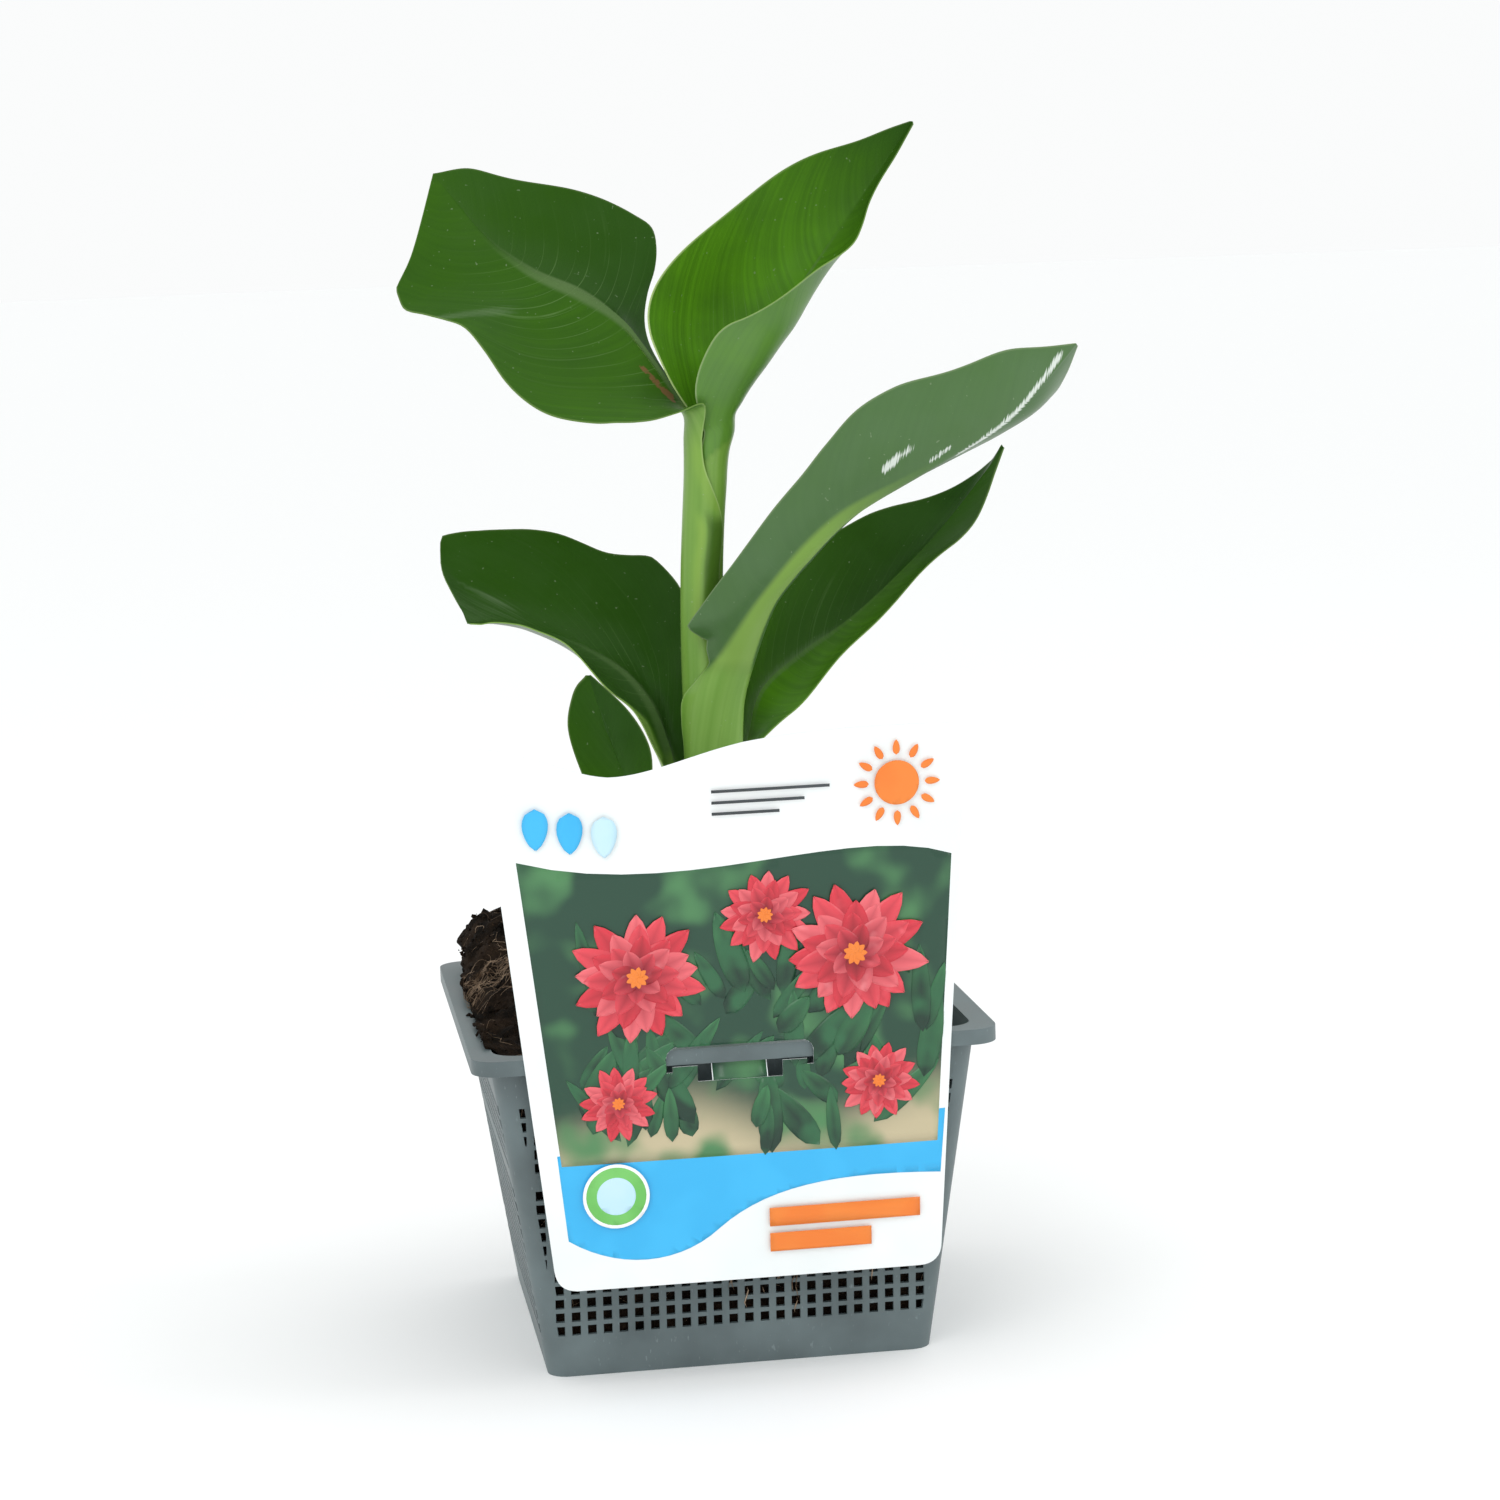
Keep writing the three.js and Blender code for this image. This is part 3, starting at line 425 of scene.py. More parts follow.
class PotSettings(bpy.types.PropertyGroup):
    """Sizes and colours of the lattice pot."""

    hole_width: FloatProperty(name="Hole width", description="Width of one lattice hole",
                              default=3.2 * MM, unit="LENGTH")
    hole_height: FloatProperty(name="Hole height", description="Height of one lattice hole",
                               default=3.65 * MM, unit="LENGTH")
    column_pitch: FloatProperty(name="Column pitch",
                                description="From one column of holes to the next",
                                default=COLUMN_PITCH * MM, unit="LENGTH")
    row_pitch: FloatProperty(name="Row pitch", description="From one row of holes to the next",
                             default=ROW_PITCH * MM, unit="LENGTH")
    lowest_row: FloatProperty(name="Lowest row", description="Height of the lowest row's middle",
                              default=LOWEST_ROW * MM, unit="LENGTH")
    rows: IntProperty(name="Rows", description="Places for rows of holes up the wall", default=17)
    solid_row: IntProperty(name="Solid row", description="The place that is left solid as a band",
                           default=11)
    wall: FloatProperty(name="Wall", description="Thickness of the lattice wall",
                        default=1.3 * MM, unit="LENGTH")
    corner: FloatProperty(name="Corner", description="Corner radius at the base",
                          default=7.5 * MM, unit="LENGTH")
    dark: FloatVectorProperty(name="Dark", description="Darker shade of the plastic",
                              subtype="COLOR", default=linear("#535f61")[:3])
    light: FloatVectorProperty(name="Light", description="Lighter shade of the plastic",
                               subtype="COLOR", default=linear("#677577")[:3])


def base_ring(bm, corner):
    """The edges of a square with round corners, as wide as the pot's base, lying at height 0."""
    made = bmesh.ops.create_grid(bm, x_segments=1, y_segments=1, size=POT_BASE_HALF)
    rounded = bmesh.ops.bevel(bm, geom=made["verts"], offset=corner, offset_type="OFFSET",
                              affect="VERTICES", segments=7, profile=0.5, material=-1)["verts"]
    face = rounded[0].link_faces[0]
    edges = list(face.edges)
    bmesh.ops.delete(bm, geom=[face], context="FACES_ONLY")
    return edges


def raise_ring(bm, edges, half, height, last_half):
    """Draws new faces from a ring of edges to the next ring, which is wider or narrower."""
    made = bmesh.ops.extrude_edge_only(bm, edges=edges)["geom"]
    verts = parts_of(made, bmesh.types.BMVert)
    share = half / last_half
    bmesh.ops.scale(bm, vec=(share, share, 1.0), verts=verts)
    for vert in verts:
        vert.co.z = height
    return parts_of(made, bmesh.types.BMEdge)


def cut_at(bm, faces, point, normal):
    """Cuts faces along a plane, and gives them back with the new ones."""
    parts = set(faces)
    for face in faces:
        parts.update(face.edges)
        parts.update(face.verts)
    made = bmesh.ops.bisect_plane(bm, geom=list(parts), plane_co=point, plane_no=normal, dist=1e-5)
    return parts_of(made["geom"], bmesh.types.BMFace)


class CANNA_OT_pot(bpy.types.Operator):
    """Build the lattice pot with its rim and skirt"""

    bl_idname = "canna.pot"
    bl_label = "Pot"

    def execute(self, context):
        settings = context.scene.canna_pot
        bm = bmesh.new()
        self.add_wall(bm, settings)
        self.add_plate(bm, settings)
        self.add_rim(bm, settings)
        bmesh.ops.recalc_face_normals(bm, faces=bm.faces)
        piece = finish_piece("lattice_pot", bm, [pot_plastic(settings)], "pot")
        soften = piece.modifiers.new("Soft edges", "BEVEL")
        soften.width = 0.25 * MM
        soften.segments = 1
        soften.limit_method = "ANGLE"
        soften.angle_limit = math.radians(50)
        soften.harden_normals = True
        return {"FINISHED"}

    def add_wall(self, bm, settings):
        """The tapered wall with its rows and columns of holes."""
        width, tall = settings.hole_width / MM, settings.hole_height / MM
        pitch = settings.column_pitch / MM
        levels = [(settings.lowest_row + settings.row_pitch * k) / MM
                  for k in range(settings.rows) if k != settings.solid_row]
        ring = base_ring(bm, settings.corner / MM)
        wall_top = POT_HEIGHT - 1.2
        raise_ring(bm, ring, POT_BASE_HALF + WALL_SLOPE * wall_top, wall_top, POT_BASE_HALF)
        faces = list(bm.faces)
        for z in levels:
            for edge in (z - tall / 2, z + tall / 2):
                faces = cut_at(bm, faces, (0, 0, edge), (0, 0, 1))
        bm.normal_update()
        columns_each_side = 14
        offsets = [(k + 0.5) * pitch for k in range(-columns_each_side, columns_each_side)]
        smallest_hole = 0.8
        doomed = []
        for axis in (0, 1):
            # The two walls that face this axis, between the lowest and the highest row.
            other = 1 - axis
            walls = [face for face in bm.faces if abs(face.normal[axis]) > 0.975
                     and levels[0] - tall < face.calc_center_median().z < levels[-1] + tall]
            normal = Vector((0, 0, 0))
            normal[other] = 1
            for offset in offsets:
                for edge in (offset - width / 2, offset + width / 2):
                    walls = cut_at(bm, walls, normal * edge, normal)
            for face in walls:
                middle = face.calc_center_median()
                in_row = any(abs(middle.z - z) < tall / 2 for z in levels)
                in_column = any(abs(middle[other] - x) < width / 2 for x in offsets)
                if in_row and in_column and face.calc_area() > smallest_hole:
                    doomed.append(face)
        bmesh.ops.delete(bm, geom=doomed, context="FACES")
        bmesh.ops.recalc_face_normals(bm, faces=bm.faces)
        bmesh.ops.solidify(bm, geom=bm.faces[:], thickness=settings.wall / MM)

    def add_plate(self, bm, settings):
        """The base plate, a little inside the wall."""
        thickness = 2.6
        plate = base_ring(bm, settings.corner / MM)
        foot = bmesh.ops.contextual_create(bm, geom=plate)["faces"]
        bmesh.ops.scale(bm, vec=(0.985, 0.985, 1.0), verts=foot[0].verts)
        top = bmesh.ops.extrude_face_region(bm, geom=foot)["geom"]
        bmesh.ops.translate(bm, vec=(0, 0, thickness), verts=parts_of(top, bmesh.types.BMVert))

    def add_rim(self, bm, settings):
        """The outward rim and its hanging skirt, as one closed ring."""
        underside, foot = POT_HEIGHT - 1.8, POT_HEIGHT - SKIRT_DEPTH
        inner, behind_skirt = POT_TOP_HALF - 1.8, RIM_HALF - 1.6
        first = base_ring(bm, settings.corner / MM)
        verts = list({vert for edge in first for vert in edge.verts})
        share = inner / POT_BASE_HALF
        bmesh.ops.scale(bm, vec=(share, share, 1.0), verts=verts)
        for vert in verts:
            vert.co.z = POT_HEIGHT
        edges, half = first, inner
        for next_half, height in ((RIM_HALF, POT_HEIGHT), (RIM_HALF, foot), (behind_skirt, foot),
                                  (behind_skirt, underside), (inner, underside)):
            edges = raise_ring(bm, edges, next_half, height, half)
            half = next_half
        bmesh.ops.bridge_loops(bm, edges=edges + first)


# ---- Soil ----

# Half the ball's width at its top, its corner radius, and the height of its foot.
BALL_HALF = 85.0
BALL_CORNER = 9.0
BALL_FOOT = 3.0
# The depths at which the ball's foot and its sides end. Its top runs on from there to depth 1.
FOOT_END = 0.03
SIDE_END = 0.5
# The way round the ball and the way from the foot to the middle of its top, in millimetres.
BALL_ROUND = 640
BALL_UP = 200
# Where the mat of fine roots lies, as a share of the way round the ball.
MAT_SHARE = 0.60
# The shares of all roots that start on the top and that lie in the mat.
TOP_ROOTS = 0.72
MAT_ROOTS = 0.44
ESCAPED_ROOTS = 11


class SoilSettings(bpy.types.PropertyGroup):
    """Roughness and colours of the root ball."""

    crumbs: IntProperty(name="Crumbs", description="Loose crumbs on the surface", default=5200)
    roots: IntProperty(name="Roots", description="Fine roots on the surface", default=1000)
    rough: FloatProperty(name="Roughness", description="Height of the lumps", default=3.6 * MM,
                         unit="LENGTH")
    dark: FloatVectorProperty(name="Moist", description="Colour of moist peat", subtype="COLOR",
                              default=linear("#100d0a")[:3])
    light: FloatVectorProperty(name="Dry", description="Colour of drier peat", subtype="COLOR",
                               default=linear("#2d231b")[:3])
    root: FloatVectorProperty(name="Root", description="Colour of the dry roots", subtype="COLOR",
                              default=linear("#b89f86")[:3])


def soil_rise(x, y):
    """How far the soil has risen, from 0 at the front to 1 in the back left corner."""
    back = smooth(-POT_TOP_HALF, POT_TOP_HALF, y)
    left = 1 - smooth(-POT_TOP_HALF, POT_TOP_HALF, x)
    return back * lerp(0.4, 1, left)


def spill(x, y):
    """How much peat is heaped over the rim here, from 0 to 1. It is heaped along the left side."""
    return (1 - smooth(-84.0, -66.0, x)) * smooth(-84.0, -68.0, y) * (1 - smooth(20.0, 70.0, y))


def soil_level(x, y, edge=0.0):
    """Height of the soil's surface without its lumps. Edge is 1 at the wall, where it drops off."""
    rise = soil_rise(x, y)
    mound = MOUND_HEIGHT * math.exp(-((x - STEM_X) ** 2 + y ** 2) / MOUND_SPREAD)
    level = SOIL_FRONT_LEVEL + SOIL_BACK_RISE * rise + mound - edge * (4 + 5 * rise)
    # It falls off steeply along the left side.
    level -= 7 * rise * (1 - smooth(-85.0, -77.0, x))
    return level + spill(x, y) * max(126.0 - level, 0.0)


def bulge(x, y, z):
    """How far the ball bulges out over the rim at a height, in millimetres."""
    return max(5.4 * spill(x, y) * smooth(123.6, 125.2, z),
               3.2 * soil_rise(x, y) * smooth(125.5, 131.0, z))


def on_square(half, corner, share):
    """A point a share of the way round a square with round corners, and its outward direction."""
    flat = 2 * (half - corner)
    arc = math.pi / 2 * corner
    place = (share % 1.0) * 4 * (flat + arc)
    side = int(place // (flat + arc)) % 4
    rest = place - side * (flat + arc)
    if rest < flat:
        point, out = Vector((half, rest - flat / 2)), Vector((1, 0))
    else:
        angle = (rest - flat) / corner if corner else 0.0
        out = Vector((math.cos(angle), math.sin(angle)))
        point = Vector((half - corner, flat / 2)) + out * corner
    turn = Matrix.Rotation(side * math.pi / 2, 2)
    return turn @ point, turn @ out


def crumble(point, size, seed):
    """Lumpy noise in millimetres, from about -1 to 1."""
    return noise.fractal(point / size + Vector((seed, seed * 2, seed * 3)), 0.7, 2.1, 4) * 0.9


def soil_point(share, depth, rough):
    """A point on the root ball. Depth runs from 0 at the middle of the base, up the sides, to 1."""
    if depth < FOOT_END:
        half, z = 69.0 * depth / FOOT_END, BALL_FOOT
    elif depth < SIDE_END:
        far, _ = on_square(BALL_HALF, BALL_CORNER, share)
        up = (depth - FOOT_END) / (SIDE_END - FOOT_END)
        z = lerp(BALL_FOOT, soil_level(far.x, far.y, 1.0), up)
        half = min(POT_BASE_HALF + (POT_TOP_HALF - POT_BASE_HALF) * z / POT_HEIGHT - 2.4, BALL_HALF)
        half += bulge(far.x, far.y, z)
    else:
        half = BALL_HALF * (1 - (depth - SIDE_END) / (1 - SIDE_END)) ** 0.9
    flat, out = on_square(max(half, 0.02), max(BALL_CORNER * half / BALL_HALF, 0.01), share)
    on_top = depth >= SIDE_END
    near_edge = smooth(0.7, 1.0, half / BALL_HALF)
    if on_top:
        over = bulge(flat.x, flat.y, soil_level(flat.x, flat.y, 1.0)) * near_edge
        z = soil_level(flat.x, flat.y, smooth(0.82, 1.0, half / BALL_HALF))
        flat += out * over
    point = Vector((flat.x, flat.y, z))
    lump = crumble(point, 9.0, 1.3)
    loose = smooth(124.5, 130.0, z)
    if on_top:
        point.z += rough * lump + 1.1 * crumble(point, 2.6, 4.7)
        push = 1.6 * loose * crumble(point, 5.0, 8.1) * near_edge
    else:
        push = min(rough * (lump - 0.55) * lerp(0.35, 0.9, loose), lerp(0.25, 1.8, loose))
    point.x += out.x * push
    point.y += out.y * push
    return point


def add_thread(bm, points, radius):
    """A thin root along some points, three-sided, with pointed ends."""
    last = len(points) - 1

    def place(_, around, along):
        at = along * last
        i = min(int(at), last - 1)
        middle = points[i].lerp(points[i + 1], at - i)
        ahead = (points[i + 1] - points[i]).normalized()
        side = ahead.cross(Vector((0.31, 0.17, 0.93))).normalized()
        up = side.cross(ahead)
        thick = radius * (1.0 if 0.01 < along < 0.99 else 0.0)
        angle = around * math.tau
        return middle + (side * math.cos(angle) + up * math.sin(angle)) * thick

    grid(bm, 3, last, place)


def in_batches(bm, count, add, batch=60):
    """Adds many small shapes, a few at a time in their own mesh, which keeps each step quick."""
    for start in range(0, count, batch):
        few = bmesh.new()
        for _ in range(min(batch, count - start)):
            add(few)
        bmesh.ops.remove_doubles(few, verts=few.verts, dist=1e-5)
        mesh = bpy.data.meshes.new("batch")
        few.to_mesh(mesh)
        few.free()
        bm.from_mesh(mesh)
        bpy.data.meshes.remove(mesh)


class CANNA_OT_soil(bpy.types.Operator):
    """Build the root ball, its crumbs and its roots"""

    bl_idname = "canna.soil"
    bl_label = "Root ball"

    def execute(self, context):
        settings = context.scene.canna_soil
        rng = random.Random(SEED)
        rough = settings.rough / MM
        moist = peat(settings)
        bm = bmesh.new()
        columns, rows = 260, 110
        grid(bm, columns, rows, lambda _, around, up: soil_point(around, up, rough))
        bmesh.ops.remove_doubles(bm, verts=bm.verts, dist=1e-3)
        bmesh.ops.recalc_face_normals(bm, faces=bm.faces)
        finish_piece("root_ball_peat", bm, [moist], "root_ball")

        bm = bmesh.new()
        in_batches(bm, settings.crumbs, lambda few: self.add_crumb(few, rng, rough))
        finish_piece("peat_crumbs", bm, [moist], smooth_faces=False)

        dry = root_thread(settings)
        bm = bmesh.new()
        in_batches(bm, settings.roots, lambda few: self.add_root(few, rng, rough))
        finish_piece("feeder_roots", bm, [dry])
        bm = bmesh.new()
        in_batches(bm, ESCAPED_ROOTS, lambda few: self.add_escaped_root(few, rng))
        finish_piece("escaped_roots", bm, [dry])
        return {"FINISHED"}

    def add_crumb(self, bm, rng, rough):
        """One loose crumb, half sunk into the surface."""
        point = soil_point(rng.random(), rng.uniform(0.42, 0.98), rough)
        size = rng.choice((0.4, 0.5, 0.6, 0.8, 1.0, 1.7)) * rng.uniform(0.7, 1.2)
        turn = Matrix.Rotation(rng.uniform(0, math.tau), 4,
                               Vector((rng.random(), rng.random(), 0.5)))
        squash = Matrix.Diagonal((1.0, rng.uniform(0.5, 0.9), rng.uniform(0.4, 0.8), 1.0))
        bmesh.ops.create_icosphere(bm, subdivisions=1, radius=size,
                                   matrix=Matrix.Translation(point) @ turn @ squash)

    def add_root(self, bm, rng, rough):
        """One root that wanders over the surface and lifts off it a little."""
        on_top = rng.random() < TOP_ROOTS
        share = rng.random()
        depth = rng.uniform(0.47, 0.95) if on_top else rng.uniform(0.05, 0.47)
        heading = rng.uniform(0, math.tau)
        length = rng.choice((7, 10, 16, 30)) * rng.uniform(0.8, 1.2)
        radius = rng.choice((0.05, 0.05, 0.06, 0.1))
        # Most of them are short and lie in a mat on the slope at the left.
        if rng.random() < MAT_ROOTS:
            share, depth = rng.gauss(MAT_SHARE, 0.013), rng.uniform(0.495, 0.7)
            length, radius = rng.uniform(4, 13), rng.choice((0.05, 0.07, 0.1))
        steps = 8
        lift = rng.uniform(0.1, 1.6) * (1 if depth > 0.44 else 0.1)
        points = []
        for k in range(steps + 1):
            heading += rng.gauss(0, 0.6 if length < 14 else 0.25)
            share += math.cos(heading) * length / steps / BALL_ROUND
            depth += math.sin(heading) * length / steps / BALL_UP
            depth = min(max(depth, 0.04), 0.985)
            point = soil_point(share, depth, rough)
            if depth > SIDE_END:
                outward = Vector((0, 0, 1))
            else:
                outward = Vector((point.x, point.y, 0)).normalized()
            points.append(point + outward * (0.12 + lift * math.sin(math.pi * k / steps)))
        # The ends stay, and the middle is evened out so that the root doesn't follow each crumb.
        for _ in range(2):
            points[1:-1] = [(a + b * 2 + c) / 4 for a, b, c in zip(points, points[1:], points[2:])]
        add_thread(bm, points, radius)

    def add_escaped_root(self, bm, rng):
        """One root that has grown out of a hole in the front wall, and hangs down on it."""
        drop = 2.4
        x = (rng.randrange(-1, 9) + 0.5) * COLUMN_PITCH + rng.uniform(-0.7, 0.7)
        z = LOWEST_ROW + rng.randrange(1, 5) * ROW_PITCH + rng.uniform(-0.6, 0.6)
        wall = -(POT_BASE_HALF + WALL_SLOPE * z)
        points = vectors([(x, wall + 3.0, z + 0.6), (x, wall + 1.0, z + 0.4), (x, wall - 0.35, z)])
        for _ in range(rng.randrange(1, 4)):
            points.append(points[-1] + Vector((rng.uniform(-1.1, 1.1), WALL_SLOPE * drop, -drop)))
        add_thread(bm, points, rng.choice((0.16, 0.2, 0.26)))


# ---- Stem and leaves ----

class PlantSettings(bpy.types.PropertyGroup):
    """Fineness and colours of the stem and the leaves."""

    rows_per_mm: FloatProperty(name="Rows",
                               description="Rows of faces along a leaf, for a millimetre",
                               default=0.5)
    half_columns: IntProperty(name="Columns", description="Columns of faces across half a leaf",
                              default=22)
    blade: FloatProperty(name="Blade", description="Thickness of a blade", default=0.45 * MM,
                         unit="LENGTH")
    rib: FloatProperty(name="Midrib", description="Thickness of the thickest midrib",
                       default=2.2 * MM, unit="LENGTH")
    dark: FloatVectorProperty(name="Dark", description="Darker stripes of the stem",
                              subtype="COLOR", default=linear("#3f6a10")[:3])
    light: FloatVectorProperty(name="Light", description="Lighter stripes of the stem",
                               subtype="COLOR", default=linear("#547e18")[:3])


def hermite(a, b, first, last, f):
    """A point a share f of the way from a to b, on the curve with these directions at its ends."""
    return (a * (2 * f ** 3 - 3 * f ** 2 + 1) + first * (f ** 3 - 2 * f ** 2 + f)
            + b * (3 * f ** 2 - 2 * f ** 3) + last * (f ** 3 - f ** 2))


def curve_at(points, share, slope=False):
    """A point on the smooth curve through some points, or the curve's direction there."""
    span = len(points) - 1
    place = min(max(share, 0.0), 1.0) * span
    i = min(int(place), span - 1)
    f = place - i
    a, b = points[i], points[i + 1]
    before = points[i - 1] if i else a * 2 - b
    after = points[i + 2] if i + 2 <= span else b * 2 - a
    first, last = (b - before) / 2, (after - a) / 2
    if slope:
        return (a * (6 * f * f - 6 * f) + first * (3 * f * f - 4 * f + 1)
                + b * (6 * f - 6 * f * f) + last * (3 * f * f - 2 * f)).normalized()
    return hermite(a, b, first, last, f)


def stem_at(z):
    """The middle of the stem at a height, found by halving."""
    low, high = 0.0, 1.0
    for _ in range(30):
        share = (low + high) / 2
        if curve_at(STEM_LINE, share).z < z:
            low = share
        else:
            high = share
    point = curve_at(STEM_LINE, low)
    return Vector((point.x, point.y, z))


